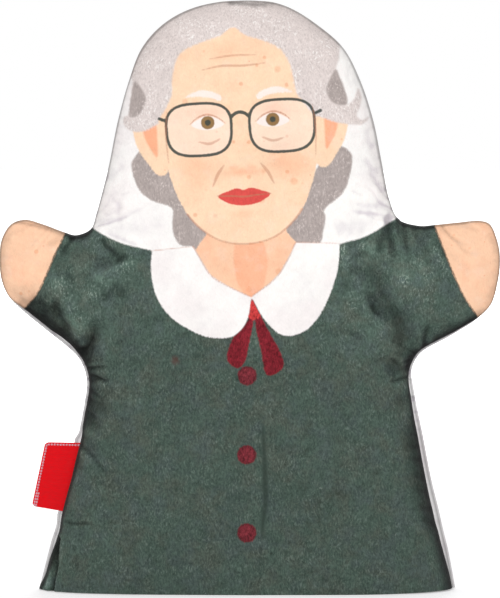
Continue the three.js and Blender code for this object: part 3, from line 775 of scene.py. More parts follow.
def lay_folds(panel, lift, tone, fine, small):
    """Press each fold into the cloth as a valley between two low lips, with uneven sides, and paint
    shade in the valley and light on the lips.
    """
    p = panel.flat
    for points, deep, wide, dark in FOLDS[panel.side]:
        line = curve_through(points, per=6)
        low, high = line.min(0) - 4 * wide - 2, line.max(0) + 4 * wide + 2
        near = np.flatnonzero(((p > low) & (p < high)).all(1))
        if not len(near):
            continue
        far, along = near_line(line, p[near])
        uneven = 0.2 if wide < 1.2 else 0.4
        far = far * (1 + uneven * (small[near] + 0.6 * fine[near]))
        begins = smooth(0, 0.1, along) if dark < 0.3 else 1.0
        ends = begins * fade(0.62, 1, along) if dark < 0.79 else 1.0
        valley = np.exp(-((far / wide) ** 2))
        lips = np.exp(-(((far - 2.1 * wide) / (1.1 * wide)) ** 2))
        lift[near] += ends * deep * (0.4 * lips - valley)
        # painted shade in the fold's valley, and a painted highlight on the lips of the darker
        # folds
        tone[near] *= 1 - ends * dark * valley + 0.16 * ends * abs(dark) * lips * (dark > 0.3)


def lay_fans(panel, lift, tone, wander, fine):
    """Gather the cloth in creases that spread from each fan's centre."""
    x, z = panel.flat.T
    for (cx, cz), points_to, spread, near, reach, deep, count in FANS:
        dx, dz = (x - cx) * (1 if panel.side < 0 else -1), z - cz
        turn = np.degrees(np.arctan2(dz, dx)) - points_to
        turn = (turn + 180) % 360 - 180
        turn += 7 * wander + 4 * fine
        r = np.hypot(dx, dz)
        each = 0.6 + 0.4 * np.sin(turn * 0.17 + cx)
        strong = smooth(0, near, r) * fade(near, reach * (0.6 + 0.4 * each), r)
        strong *= fade(0.6 * spread, spread, np.abs(turn))
        wave = 0.5 + 0.5 * np.cos(np.radians(turn * 180 * count / spread))
        lift -= deep * strong * each * (wave**3 - 0.3)
        # painted shade in the gathered creases, and a little painted light between them
        tone *= 1 - 0.3 * strong * each * (wave**3 - 0.2)


def lay_puckers(panel, lift, tone):
    """Pucker the cloth along the seam, most at the underarms."""
    x, z = panel.flat.T
    corner = np.exp(-(((z - 108) / 20) ** 2)) * (np.abs(x) < 105)
    beat = panel.along / 6.5 + 0.8 * np.sin(panel.along / 17) + 0.4 * np.sin(panel.along / 6.1)
    pucker = (0.5 + 0.5 * np.cos(2 * math.pi * beat)) ** 3
    strength = (0.16 + 0.4 * corner) * np.exp(-((panel.far / (4 + 4 * corner)) ** 1.5))
    lift -= strength * (pucker - 0.3) * smooth(0, 1.2, panel.far)
    # painted shade in the puckers' hollows
    tone *= 1 - 0.7 * strength * (pucker - 0.2)


def seam_shade(panel, wander):
    """Shade of the cloth that turns from the light: the skirt's sides, the sleeves' undersides."""
    x, z = panel.flat.T
    right = x > 0
    skirt = fade(78, 92, z)
    upper = hump(76, 92, 106, 118, z)
    sleeve = hump(112, 120, 140, 146, z)
    head = smooth(146, 160, z)
    much_right = 0.4 + 0.44 * skirt + 0.3 * sleeve - 0.26 * head
    much = np.where(right, much_right, 0.14 + 0.4 * upper + 0.6 * sleeve)
    wide = smooth(24, 44, z) * skirt
    reach = np.where(right, 5 + skirt + 5.5 * wide, 3 + 5 * upper + 3 * sleeve) + 1.6 * wander
    fall = smooth(0, 1, panel.far / reach) ** np.where(right, 1 + 0.4 * skirt - 0.5 * wide, 1)
    return (1 - much * (1 - fall)) * (0.99 + 0.16 * smooth(100, 146, z + 9 * wander))


def relief(panel):
    """Lift of the cloth in mm; its tone, which varies at random and carries painted shade in folds,
    gathers and puckers and painted highlights on fold lips and pale folds; and the painted shade
    beside the seams.
    """
    p, seed = panel.flat, panel.side
    lift = 0.75 * rough(p, 36, 3.1 + seed) + 0.3 * rough(p, 13, 7.7 + seed)
    lift += 0.12 * rough(p, 5, 1.3)
    wander, fine, small = rough(p, 22, 5.5), rough(p, 9, 2.2), rough(p, 3.2, 8.8)
    tone = 1 + 0.07 * wander + 0.05 * fine + 0.04 * small
    lay_folds(panel, lift, tone, fine, small)
    lay_fans(panel, lift, tone, wander, fine)
    lay_puckers(panel, lift, tone)
    held = smooth(0.02, 0.35, np.sqrt(panel.rise))
    return lift * held, tone, seam_shade(panel, wander)


# Print ----------------------------------------------------------------------

CUFF_LEFT = [
    (-126, 126), (-118.6, 136.5), (-113.4, 143.6), (-107.8, 150.2), (-103, 159.6),
    (-98.3, 170.8), (-93.5, 180.9), (-90.9, 188),
]
CUFF_RIGHT = [
    (91, 196), (92.8, 189.3), (93.7, 185.3), (97.8, 173.9), (103.1, 160.8), (108.3, 149.6),
    (114.7, 140.2), (118, 135), (124, 126),
]
NECKLINE_LEFT = [(-80, 184.6), (-72.1, 179.8), (-64.2, 176.4), (-59, 174.9), (-50.2, 173)]
NECKLINE_RIGHT = [(45.5, 176.1), (58.3, 179.8), (65.9, 184), (74.8, 189.4)]
COLLAR_LEFT_OUTER = [
    (-49.4, 172.6), (-49.7, 163.1), (-48.3, 153.7), (-45, 145.6), (-39, 138.4),
    (-30.2, 132.6), (-22.9, 129.4), (-16, 128.3), (-9.1, 129), (-3.7, 132.8),
    (-1.3, 137.3), (0.2, 141.4), (1, 148.7),
]
COLLAR_LEFT_INNER = [
    (0.2, 149.5), (-12, 155.3), (-19.3, 160), (-25.2, 169.2), (-27.6, 173.4), (-28.7, 174.8),
]
COLLAR_RIGHT_OUTER = [
    (45.5, 176.4), (45, 166), (43.2, 158), (40.3, 149.8), (35.7, 140.4), (30.9, 134.4),
    (25.7, 130.8), (20.4, 129.5), (15.5, 130.3), (9.7, 135.3), (5.6, 140.7), (1.5, 148.2),
]
COLLAR_RIGHT_INNER = [(1.5, 149.8), (10.4, 156.3), (15.1, 161.1), (20.5, 170.6), (23.2, 176.8)]
RIBBON_LEFT = [
    (1.1, 148), (-0.3, 138.8), (-4.3, 132.5), (-8.3, 128.4), (-11.4, 118.8), (-10.4, 115.9),
    (-5.8, 113), (-2.3, 116.7), (-0.3, 125.6), (1.7, 136),
]
RIBBON_RIGHT = [
    (1.1, 148), (2.8, 137.1), (3.6, 131.5), (5.8, 122.8), (8.8, 109.6), (12.9, 110.1),
    (16.7, 113.2), (17.3, 115.9), (14.8, 122.8), (10.9, 129.9), (5.8, 139.2),
]
RIBBON_TOP = [(1.1, 148.6), (-0.6, 138.8), (1.7, 137.4), (5.8, 139.2)]
PLACKET = [(6.8, 85), (7.1, 76), (7.6, 66), (7.9, 55), (8.1, 46), (7.4, 39), (6.6, 33), (6.3, 26)]
BUTTONS = [(-1.2, 109.3), (-1.4, 69.2), (-1.4, 29.5)]
BUTTON_HALF = 4.85
# The dress's corners past the skirt on either side, and the foot of its neckline.
DRESS_LEFT, DRESS_RIGHT = [(-160, -40), (-160, 118)], [(160, 118), (160, -40)]
DRESS_THROAT = [(1.1, 148)]
HANDS_OUT, HANDS_TOP = 84, 192  # bare skin starts this far out, and ends at this height
NAPE_LEFT = [
    (-59.2, 218), (-59.2, 212.7), (-55.7, 203.6), (-49.7, 198.3), (-39, 193.9),
    (-39, 186.4), (-38, 180), (-34.6, 175.4), (-29, 174.6), (-26.4, 172.6), (-20.4, 181.2),
    (-30.1, 208.6), (-50.3, 226),
]
NAPE_RIGHT = [
    (51.3, 222), (50.3, 209.6), (46.6, 201.4), (37.7, 193.3), (38.3, 189.5), (37.3, 182.6),
    (35.3, 176.1), (20.5, 175.1), (18, 183.2), (30.6, 208.6), (43.2, 226),
]
NECK = [
    (-21.9, 184), (-21.9, 180.7), (-27.4, 173), (-25.2, 169.2), (-19.4, 160), (-12, 155.3),
    (0.8, 148.6), (10.4, 156.3), (15.1, 161.1), (20.5, 170.6), (23.8, 176.6), (19.3, 181.6),
    (18, 186),
]
THROAT = [
    (-6, 192), (-7.6, 178), (-8.4, 170), (-7.6, 162), (-5.4, 154), (0.8, 147.6), (6.6, 153),
    (8.8, 160), (9.4, 168), (8.4, 174), (6.6, 180), (6, 192),
]
HAIRLINE = [
    (-39.2, 250.8), (-38.9, 259.4), (-37.2, 268.5), (-33.6, 273.6), (-22.5, 278.7),
    (-14.4, 281.7), (-8.3, 285.8), (-2.3, 281.7), (6.3, 279.2), (15.4, 274.6), (20.5, 266.5),
    (22.5, 257.4), (24, 251.5),
]
BELOW_HAIRLINE = [(30, 244), (38, 236), (44, 200), (0, 160), (-52, 200), (-48, 236), (-43, 243)]
HAIR_OUTER = [
    (-40, 240), (-47.8, 235.8), (-52, 233.6), (-56.5, 232.8), (-60.4, 233.6), (-63.4, 236.4),
    (-63.6, 240.4), (-61.4, 241.4), (-60.2, 247), (-59.8, 254), (-59.4, 259.6), (-62, 263.4),
    (-76, 276), (-72, 312), (70, 312), (60, 290),
    (46.4, 277.5), (45.2, 269.5), (43.7, 264.5), (49.3, 247.2), (52.8, 249.6), (54.9, 255.3),
    (56.6, 250.8), (55.9, 245.7), (54.3, 241.4), (56.6, 239.0), (60.4, 240.6), (57.6, 237.2),
    (52.0, 236.6), (44.2, 237.6), (33, 240.6), (24, 238),
]
LOCK_LEFT = [
    (-57.8, 258.6), (-54.9, 255.3), (-52.3, 249.8), (-53.9, 244.2), (-56.9, 240.8),
    (-60.4, 240.5), (-60.9, 243.6), (-59.6, 251.8),
]
LOCK_RIGHT = [
    (43.7, 264.5), (40, 258.4), (38.7, 254.3), (40, 250.4), (42.2, 247.7), (45.8, 246.4),
    (49.3, 247.2), (47.8, 255.3), (45.3, 261.4),
]

# Pale stray fibres caught on the dress.
LINT = [
    [(35.2, 52.4), (37.6, 51.8)], [(80.6, 48.8), (81.3, 48.2)], [(74.6, 32.2), (75.4, 34.2)],
    [(73.6, 27.6), (74.4, 29.2)], [(-58.2, 75.4), (-57.6, 74.2)], [(42.4, 85), (42.9, 86.6)],
]

# The printed face is drawn upright round its own middle, then leaned with the head.
FACE_AT = (-4.3, 231)
FACE_LEAN = math.radians(3)
FACE_HALF = [
    (0, -55), (12, -53), (20.5, -48), (28, -40), (33, -30.5), (37, -18), (40, 0), (41, 7),
    (40.5, 25), (36, 42), (22, 52), (0, 55),
]
EAR = [
    (37, 15), (41.5, 19), (47.5, 19.5), (53, 15), (54.5, 6), (52.2, -4), (47.5, -12),
    (42.5, -18), (38.6, -17.5), (36, -8),
]
EAR_INNER = [(43, 10), (46.5, 12), (49.2, 8), (48.6, 1), (45.2, -6), (42.8, -9), (42.2, 0)]
BROW = [(9, 20.4), (14, 23), (20, 23.8), (27, 20.6), (20.5, 20.6), (14.5, 19.8), (9.4, 17.9)]
EYE = [
    (8.2, 6.2), (12, 9.4), (17, 10.6), (21.6, 9), (24.8, 6.4), (20.6, 4.1), (15.6, 3.6),
    (11.2, 4.4),
]
IRIS_AT, IRIS_HALF, PUPIL_HALF = (16.4, 7.3), 3.4, 1.5
LID = [(7.6, 6.6), (12, 10), (17, 11.4), (21.8, 9.8), (25.4, 6.8)]
LENS_HALF = (16.8, 13.2)
LENS_AT = (21.0, 4.0)
MOUTH = [
    (-13.2, -30.2), (-8.6, -28.1), (-3.4, -26.6), (0, -27.6), (3.4, -26.6), (8.6, -28.1),
    (13.2, -30.2), (8.2, -33.9), (0, -35.4), (-8.2, -33.9),
]


LIP_LINE = [(-13.6, -30), (-6, -30.4), (0, -31), (6, -30.4), (13.6, -30)]
BRIDGE = [(-4.6, 9.4), (-2.4, 11.2), (0, 11.8), (2.4, 11.2), (4.6, 9.4)]
TEMPLE = [(38.2, 9.5), (40.8, 10.6)]
# Faint lines of the face and their half widths: some on both sides, some once.
PAIRED_LINES = [
    ([(9.2, -14.5), (12.6, -19), (15.4, -25)], 0.8),
    ([(10.5, -1.2), (16, -3.4), (21.5, -2.2)], 0.7),
    ([(36.8, 14), (37.8, 2), (37.2, -12)], 0.45),
]
SINGLE_LINES = [
    ([(-18, 34), (-8, 35.6), (3, 35.2), (14, 36)], 0.6),
    ([(-14, 39.4), (-2, 40.6), (10, 40.2)], 0.5),
]
# Soft shade on the skin: place in the face, half width and height, strength.
PAIRED_SHADES = [(23, -15, 10, 8, 0.42), (16.5, 12.5, 9, 3.4, 0.5), (4.6, -16.4, 2.8, 1.7, 0.5)]
SINGLE_SHADES = [(0, -18.3, 8.5, 2.2, 0.55), (0, -39.5, 8, 1.8, 0.25), (0, 44, 24, 6, 0.2)]
# Printed edges of the collar and their half widths.
COLLAR_LINES = [
    (COLLAR_LEFT_INNER, 0.42), (COLLAR_RIGHT_INNER, 0.42),
    ([(-49.6, 172.6), (-40, 173.6), (-28.8, 174.9)], 0.32),
    ([(23.2, 176.9), (45.5, 176.5)], 0.32),
]
SIDES = (-1, 1)


def in_face(points):
    """The points as the face sees them: from its middle, and upright."""
    x, z = points[:, 0] - FACE_AT[0], points[:, 1] - FACE_AT[1]
    c, s = math.cos(FACE_LEAN), math.sin(FACE_LEAN)
    return np.column_stack([x * c + z * s, z * c - x * s])


def shape(points):
    """A smooth closed outline."""
    return curve_through(points, closed=True, per=7)


def joined(*lines, per):
    """One outline from smooth lines one after the other."""
    return np.vstack([curve_through(line, per=per) for line in lines])


def mirrored(points, side):
    return [(u * side, v) for u, v in points]


def round_square(half, power=3.0, count=72):
    """A rounded oblong that narrows a little towards its lower edge."""
    t = np.linspace(0, 2 * math.pi, count, endpoint=False)
    c, s = np.cos(t), np.sin(t)
    r = (np.abs(c) ** power + np.abs(s) ** power) ** (-1 / power)
    pinch = 1 - 0.05 * (1 - s * r) / 2
    return np.column_stack([half[0] * c * r * pinch, half[1] * s * r])


def union(*fields):
    """Inside where any of the fields is."""
    return np.max(fields, axis=0)


def filled(points, *outlines):
    return union(*(signed(shape(outline), points) for outline in outlines))


def both_sides(points, outline):
    return filled(points, *(mirrored(outline, k) for k in SIDES))


def pen(points, lines, ends=0.0):
    """Strokes along smooth lines, each with its own half width."""
    return union(*(stroke(curve_through(line), points, half, ends) for line, half in lines))


def printed_glasses(q):
    """Rims with bridge and temples, and the lenses inside them, round the face's middle."""
    rims, lenses = [], []
    for k in SIDES:
        ring = round_square(LENS_HALF) * (k, 1) + (k * LENS_AT[0], LENS_AT[1])
        lenses.append(signed(ring, q))
        rims.append(0.72 - np.abs(lenses[-1]))
        rims.append(stroke(np.array(mirrored(TEMPLE, k)), q, 0.8))
    rims.append(stroke(curve_through(BRIDGE, per=6), q, 0.85))
    return union(*rims), union(*lenses)


def printed_shades(points, q, face, neck, hands):
    """Soft shade on the skin, 0 to 1."""
    shades = [0.32 * (hands > 0)]
    for k in SIDES:
        ear = signed(shape(mirrored(EAR_INNER, k)), q)
        shades.append(0.9 * smooth(-0.4, 0.6, ear))
    spots = [(k * u, *rest) for k in SIDES for u, *rest in PAIRED_SHADES] + SINGLE_SHADES
    for u, v, half_u, half_v, much in spots:
        far = np.hypot((q[:, 0] - u) / half_u, (q[:, 1] - v) / half_v)
        shades.append(much * np.exp(-(far**2)))
    throat = signed(shape(THROAT), points)
    shades.append(np.where(face < 0, 0.74 * smooth(-1, 1, throat), 0))
    shades.append(np.where(face < 0, 0.36 * smooth(-1, 0.5, neck), 0))
    return union(*shades)


def printed(points):
    """Signed distances in mm, positive inside each printed shape, at points (x, z) as seen."""
    x, z = points.T
    f = {}
    dress = [DRESS_LEFT, curve_through(CUFF_LEFT, per=5), curve_through(NECKLINE_LEFT, per=5)]
    dress += [DRESS_THROAT, curve_through(NECKLINE_RIGHT, per=5)]
    dress += [curve_through(CUFF_RIGHT, per=5), DRESS_RIGHT]
    f["dress"] = signed(np.vstack(dress), points)
    left = joined(COLLAR_LEFT_OUTER, COLLAR_LEFT_INNER, per=6)
    right = joined(COLLAR_RIGHT_OUTER, COLLAR_RIGHT_INNER, per=6)
    f["collar"] = union(signed(left, points), signed(right, points))
    f["ribbon"] = filled(points, RIBBON_LEFT, RIBBON_RIGHT)
    f["knot"] = signed(np.array(RIBBON_TOP), points)
    f["placket"] = stroke(curve_through(PLACKET, per=6), points, 1.25, 0.75)
    f["button"] = union(*(BUTTON_HALF - np.hypot(x - bx, z - bz) for bx, bz in BUTTONS))

    q = in_face(points)
    face = filled(q, FACE_HALF + mirrored(FACE_HALF[1:-1], -1)[::-1])
    neck = signed(np.array(NECK), points)
    hands = np.abs(x) - HANDS_OUT - 200 * (z > HANDS_TOP)
    f["skin"] = union(face, both_sides(q, EAR), neck, hands)
    open_face = np.vstack([curve_through(HAIRLINE, per=5), BELOW_HAIRLINE])
    open_face = np.minimum(face, signed(open_face, points))
    f["hair"] = np.minimum(filled(points, HAIR_OUTER), -open_face)
    f["nape"] = filled(points, NAPE_LEFT, NAPE_RIGHT)
    f["lock"] = filled(points, LOCK_LEFT, LOCK_RIGHT)
    f["brow"] = both_sides(q, BROW)
    f["eye"] = both_sides(q, EYE)
    eyes = np.min([np.hypot(q[:, 0] - k * IRIS_AT[0], q[:, 1] - IRIS_AT[1]) for k in SIDES], axis=0)
    f["iris"] = np.minimum(IRIS_HALF - eyes, f["eye"])
    f["pupil"] = np.minimum(PUPIL_HALF - eyes, f["eye"])
    f["lips"] = filled(q, MOUTH)
    f["rim"], f["lens"] = printed_glasses(q)
    lids = pen(q, [(mirrored(LID, k), 0.42) for k in SIDES], 0.5)
    f["line"] = union(lids, pen(q, [(LIP_LINE, 0.4)], 0.4))
    faint = [(mirrored(line, k), half) for k in SIDES for line, half in PAIRED_LINES]
    chin = np.where(q[:, 1] < -38, 0.5 - np.abs(face), -50)
    f["outline"] = union(pen(q, faint + SINGLE_LINES, 0.6), chin, pen(points, COLLAR_LINES))
    cuffs = (curve_through(line, per=5) for line in (CUFF_LEFT, CUFF_RIGHT))
    f["cuff"] = union(*(stroke(line, points, 0.5) for line in cuffs))
    f["lint"] = union(*(stroke(np.array(line), points, 0.3, 0.5) for line in LINT))
    f["blush"] = printed_shades(points, q, face, neck, hands)
    return f


# Pieces -----------------------------------------------------------------------

PARTS = {
    "torso": ["torso"],
    "head": ["neck_fold", "head"],
    "arm_left": ["shoulder_fold_left", "arm_left"],
    "arm_right": ["shoulder_fold_right", "arm_right"],
}
# All in mm. The arms are cut from the torso a little out from the waist, below the arm's top.
WAIST_CUT, UNDERARM_CUT, TOP_CUT = 0.6, 1.6, 2.4
NECK_CUT_LEFT, NECK_CUT_RIGHT = 2, 3
INSIDE = 3  # distance from the seam that stands for the cloth's inner face
OUTSIDE = -20  # signed distance that stands for far outside a printed shape


def body_parts(s, flat, tris):
    """Which part each triangle belongs to: torso, head, arm_left or arm_right."""
    x, z = flat[tris].mean(axis=1).T
    left, right, low_l, low_r = mm(s, "neck_left", "neck_right", "shoulder_left", "shoulder_right")
    neck = mix(low_l + 1, low_r + 1, (x + left) / (left + right))
    waist_l, waist_r, under_l, under_r, top = mm(
        s, "waist_left", "waist_right", "underarm_left", "underarm_right", "arm_top"
    )
    up_l = (z - under_l - UNDERARM_CUT) / (top + TOP_CUT - under_l)
    up_r = (z - under_r - UNDERARM_CUT) / (top + TOP_CUT - under_r)
    edge_l = mix(-waist_l - WAIST_CUT, -left - NECK_CUT_LEFT, up_l)
    edge_r = mix(waist_r + WAIST_CUT, right + NECK_CUT_RIGHT, up_r)
    part = np.where(z > neck, "head", "torso").astype("<U9")
    part[(x < edge_l) & (z > 0.9 * under_l)] = "arm_left"
    part[(x > edge_r) & (z > 0.9 * under_r)] = "arm_right"
    return part


def shell(panel, faces):
    """Closed cloth for some of a panel's faces: vertices, faces, normals, the panel point
    that each came from, and its distance in mm from the seam."""
    count, n = len(panel.flat), len(panel.line)
    vertices = np.vstack([panel.outer, panel.inner, panel.roll, panel.low, panel.high])
    normals = np.vstack([panel.normal, -panel.normal, np.zeros((3 * n, 3))])
    hidden = np.full(count, -1)
    source = np.concatenate([np.arange(count), hidden, panel.ring, panel.ring, hidden[:n]])
    inset = [panel.far, np.full(count, INSIDE), np.zeros(n), np.full(2 * n, INSIDE)]
    inset = np.concatenate(inset)
    inner, roll, low, high = count, 2 * count, 2 * count + n, 2 * count + 2 * n
    place = {v: i for i, v in enumerate(panel.ring.tolist())}
    out = [tuple(face) for face in faces.tolist()]
    directed = {edge: True for a, b, c in out for edge in ((a, b), (b, c), (c, a))}
    out += [(a + inner, c + inner, b + inner) for a, b, c in out]
    starts, ends = set(), set()
    for a, b in directed:
        if (b, a) in directed:
            continue
        if a in place and b in place and abs(place[a] - place[b]) == 1:
            i, j = place[a], place[b]
            out.append((b, a, roll + i, roll + j))
            out.append((roll + j, roll + i, low + i, low + j))
            out.append((low + j, low + i, high + i, high + j))
            out.append((high + j, high + i, a + inner, b + inner))
            starts.add(a)
            ends.add(b)
        else:
            out.append((b, a, a + inner, b + inner))
    for v in starts - ends:
        i = place[v]
        out.append((v, v + inner, high + i, low + i, roll + i))
    for v in ends - starts:
        i = place[v]
        out.append((v, roll + i, low + i, high + i, v + inner))
    used = np.zeros(len(vertices), bool)
    for f in out:
        used[list(f)] = True
    new = np.cumsum(used) - 1
    out = [[int(new[v]) for v in f] for f in out]
    return vertices[used], out, normals[used], source[used], inset[used]


def make_mesh(name, vertices, faces, normals=None):
    """A new object from places in mm."""
    mesh = bpy.data.meshes.new(name)
    mesh.from_pydata((np.asarray(vertices) * MM).tolist(), [], faces)
    mesh.update()
    mesh.shade_smooth()
    if normals is not None:
        mesh.normals_split_custom_set_from_vertices(normals.tolist())
    obj = bpy.data.objects.new(name, mesh)
    bpy.context.scene.collection.objects.link(obj)
    return obj


def put(mesh, name, values):
    """Keep one number for each point, for the materials to read."""
    layer = mesh.attributes.new(name, "FLOAT", "POINT")
    layer.data.foreach_set("value", np.asarray(values, np.float32))


def joint_bend(s, piece, part):
    """Attach a torso piece to the torso; any other piece only has its transform baked in, and
    nothing bends.
    """
    if part == "torso":
        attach(piece, "torso")
        return
    (fold,) = mm(s, "fold")
    left, right, low_l, low_r = mm(s, "neck_left", "neck_right", "shoulder_left", "shoulder_right")
    if part == "head":
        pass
    elif part == "arm_left":
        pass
    else:
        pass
    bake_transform(piece)


def flat_cut(panel, tris):
    """Width and length in metres of the cloth that these triangles were cut from, and its
    area: their outline, grown until it has the area of the curved cloth."""

    def area(points):
        a, b, c = (points[tris[:, k]] for k in range(3))
        return np.linalg.norm(np.cross(b - a, c - a), axis=1).sum() / 2 * MM**2

    level = np.column_stack([panel.flat, np.zeros(len(panel.flat))])
    curved = area((panel.outer + panel.inner) / 2)
    grown = math.sqrt(curved / area(level))
    wide, tall = np.ptp(panel.flat[tris].reshape(-1, 2), axis=0) * MM * grown
    return (float(wide), float(tall)), float(curved)


def build_panel(context, side):
    """One whole panel, cut into its parts: -1 is the front, 1 is the back."""
    s, cloth = context.scene.puppet_shape, context.scene.puppet_cloth
    panel = Panel(s, cloth, side)
    word, other = ("front", "back") if side < 0 else ("back", "front")
    fields = {}
    if side < 0:
        x, y, z = panel.outer.T
        fields = printed(np.column_stack([x, z - np.abs(y) * math.tan(VIEW_TILT)]))
    parts = body_parts(s, panel.flat, panel.tris)
    stuff = cloth_material(cloth, side < 0)
    for part, nodes in PARTS.items():
        tris = panel.tris[parts == part]
        vertices, faces, normals, source, inset = shell(panel, tris)
        piece = make_mesh(f"{word}_{part}_cloth", vertices, faces, normals)
        show = source >= 0
        for name, values in fields.items():
            beyond = 0 if name == "blush" else OUTSIDE
            put(piece.data, name, np.where(show, values[source], beyond))
        # tone: random tone with painted fold shade and highlights; edge: painted shade beside the
        # seams
        put(piece.data, "tone", np.where(show, panel.tone[source], 1))
        put(piece.data, "edge", np.where(show, panel.edge[source], 1))
        put(piece.data, "seam", inset)
        piece.data.materials.append(stuff)
        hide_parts(*(f"{word}_{node}" for node in nodes))
        size, area = flat_cut(panel, tris)
        joint_bend(s, piece, part)


# Materials --------------------------------------------------------------------


class Tree:
    """Short words for building a node tree."""

    def __init__(self, tree):
        self.tree = tree
        self.nodes = tree.nodes
        self.row = 0

    def node(self, kind, *inputs, **settings):
        node = self.nodes.new(kind)
        node.location = (self.row % 12 * 190 - 1100, -(self.row // 12) * 260)
        self.row += 1
        for key, value in settings.items():
            setattr(node, key, value)
        for i, source in enumerate(inputs):
            self.link(source, node.inputs[i])
        return node

    def link(self, source, socket):
        """Join an output, or a node's first output, to the socket, or set it to a value."""
        if isinstance(source, bpy.types.Node):
            source = source.outputs[0]
        if isinstance(source, bpy.types.NodeSocket):
            self.tree.links.new(source, socket)
        else:
            socket.default_value = source[:3] if socket.type == "VECTOR" else source

    def fill(self, node, **inputs):
        """Link or set a node's inputs by their names."""
        for name, source in inputs.items():
            self.link(source, node.inputs[name.replace("_", " ")])
        return node

    def place(self):
        return self.node("ShaderNodeTexCoord").outputs["Object"]

    def math(self, kind, *inputs, clamp=False):
        return self.node("ShaderNodeMath", *inputs, operation=kind, use_clamp=clamp).outputs[0]

    def noise(self, where, scale, detail, rough=0.5):
        node = self.node("ShaderNodeTexNoise", noise_dimensions="3D")
        self.fill(node, Vector=where, Scale=scale, Detail=detail, Roughness=rough)
        return node.outputs["Fac"]

    def stretch(self, where, x, y, z):
        return self.fill(self.node("ShaderNodeMapping", where), Scale=(x, y, z)).outputs[0]

    def scaled(self, vector, by):
        node = self.node("ShaderNodeVectorMath", vector, operation="SCALE")
        return self.fill(node, Scale=by).outputs[0]

    def bump(self, shader, height, distance, strength=1.0):
        node = self.fill(
            self.node("ShaderNodeBump"), Height=height, Distance=distance, Strength=strength
        )
        self.link(node, shader.inputs["Normal"])

    def mixed(self, fac, a, b):
        node = self.node("ShaderNodeMix", data_type="RGBA")
        for i, v in ((0, fac), (6, a), (7, b)):
            self.link(v, node.inputs[i])
        return node.outputs[2]

    def between(self, fac, a, b):
        node = self.node("ShaderNodeMix", data_type="FLOAT")
        for i, v in ((0, fac), (2, a), (3, b)):
            self.link(v, node.inputs[i])
        return node.outputs[0]

    def span(self, value, low, high, to_low=0.0, to_high=1.0):
        node = self.node("ShaderNodeMapRange", interpolation_type="SMOOTHSTEP")
        for i, v in enumerate((value, low, high, to_low, to_high)):
            self.link(v, node.inputs[i])
        return node.outputs[0]


def group(name, inputs, outputs):
    """A new node group, its input and output nodes, and the words for building it."""
    tree = bpy.data.node_groups.new(name, "ShaderNodeTree")
    for label, kind, default in inputs:
        socket = tree.interface.new_socket(label, in_out="INPUT", socket_type=kind)
        if default is not None:
            socket.default_value = default
    for label, kind in outputs:
        tree.interface.new_socket(label, in_out="OUTPUT", socket_type=kind)
    t = Tree(tree)
    return t, t.node("NodeGroupInput"), t.node("NodeGroupOutput")


def shared(name, build):
    """The node group of that name, built only the first time."""
    return bpy.data.node_groups.get(name) or build(name)


def printed_layer(name):
    """One colour of the print laid over what is below it, with a fibrous edge."""
    t, start, end = group(
        name,
        [
            ("Below", "NodeSocketColor", (1, 1, 1, 1)),
            ("Ink", "NodeSocketColor", (0, 0, 0, 1)),
            ("Inside", "NodeSocketFloat", 0.0),
            ("Fray", "NodeSocketFloat", 0.0),
            ("Softness", "NodeSocketFloat", 0.45),
            ("Strength", "NodeSocketFloat", 1.0),
        ],
        [("Colour", "NodeSocketColor"), ("Mask", "NodeSocketFloat")],
    )
    given = start.outputs
    edge = t.math("ADD", given["Inside"], given["Fray"])
    low = t.math("MULTIPLY", given["Softness"], -1.0)
    mask = t.math("MULTIPLY", t.span(edge, low, given["Softness"]), given["Strength"])
    t.fill(end, Colour=t.mixed(mask, given["Below"], given["Ink"]), Mask=mask)
    return t.tree


def pile_nap(name):
    """Short pile: soft drift and hue, clumps, combed strands, tips, pits, fray and height."""
    outputs = ("Drift", "Warm", "Cool", "Clump", "Comb", "Tips", "Pits", "Fray", "Height")
    t, start, end = group(
        name,
        [("Place", "NodeSocketVector", None)],
        [(word, "NodeSocketFloat") for word in outputs],
    )
    place = start.outputs["Place"]

    def vectors(kind, a, b):
        return t.node("ShaderNodeVectorMath", a, b, operation=kind).outputs[0]

    def centred(value):
        return t.math("MULTIPLY", t.math("SUBTRACT", value, 0.5), 2.0)

    # the strands lean this way and that, so their pattern is read from a stirred place
    swirl = t.fill(t.node("ShaderNodeTexNoise"), Vector=place, Scale=120.0)
    stirred = t.scaled(vectors("SUBTRACT", swirl.outputs["Color"], (0.5, 0.5, 0.5)), 0.004)
    stirred = vectors("ADD", place, stirred)
    comb = t.stretch(stirred, 1.0, 1.0, 0.5)
    clump = t.noise(stirred, 210.0, 4.0, 0.62)
    strands = t.noise(comb, 1150.0, 2.0, 0.75)
    flecks = t.noise(comb, 1150.0, 2.0, 0.6)
    elsewhere = vectors("ADD", place, (3.1, 1.7, 5.3))
    tip_share = t.span(t.noise(place, 120.0, 2.0), 0.4, 0.66)
    t.fill(
        end,
        Drift=t.noise(place, 42.0, 2.0),
        Warm=t.span(t.noise(place, 74.0, 4.0, 0.66), 0.42, 0.66),
        Cool=t.span(t.noise(elsewhere, 88.0, 4.0, 0.66), 0.44, 0.68),
        Clump=centred(clump),
        Comb=centred(strands),
        Tips=t.math("MULTIPLY", t.span(flecks, 0.53, 0.68), tip_share),
        Pits=t.span(t.noise(comb, 1300.0, 2.0, 0.6), 0.48, 0.33),
        Fray=t.math("MULTIPLY_ADD", centred(clump), 0.35, centred(strands)),
        Height=t.math("ADD", t.math("MULTIPLY", strands, 0.55), t.math("MULTIPLY", clump, 0.8)),
    )
    return t.tree


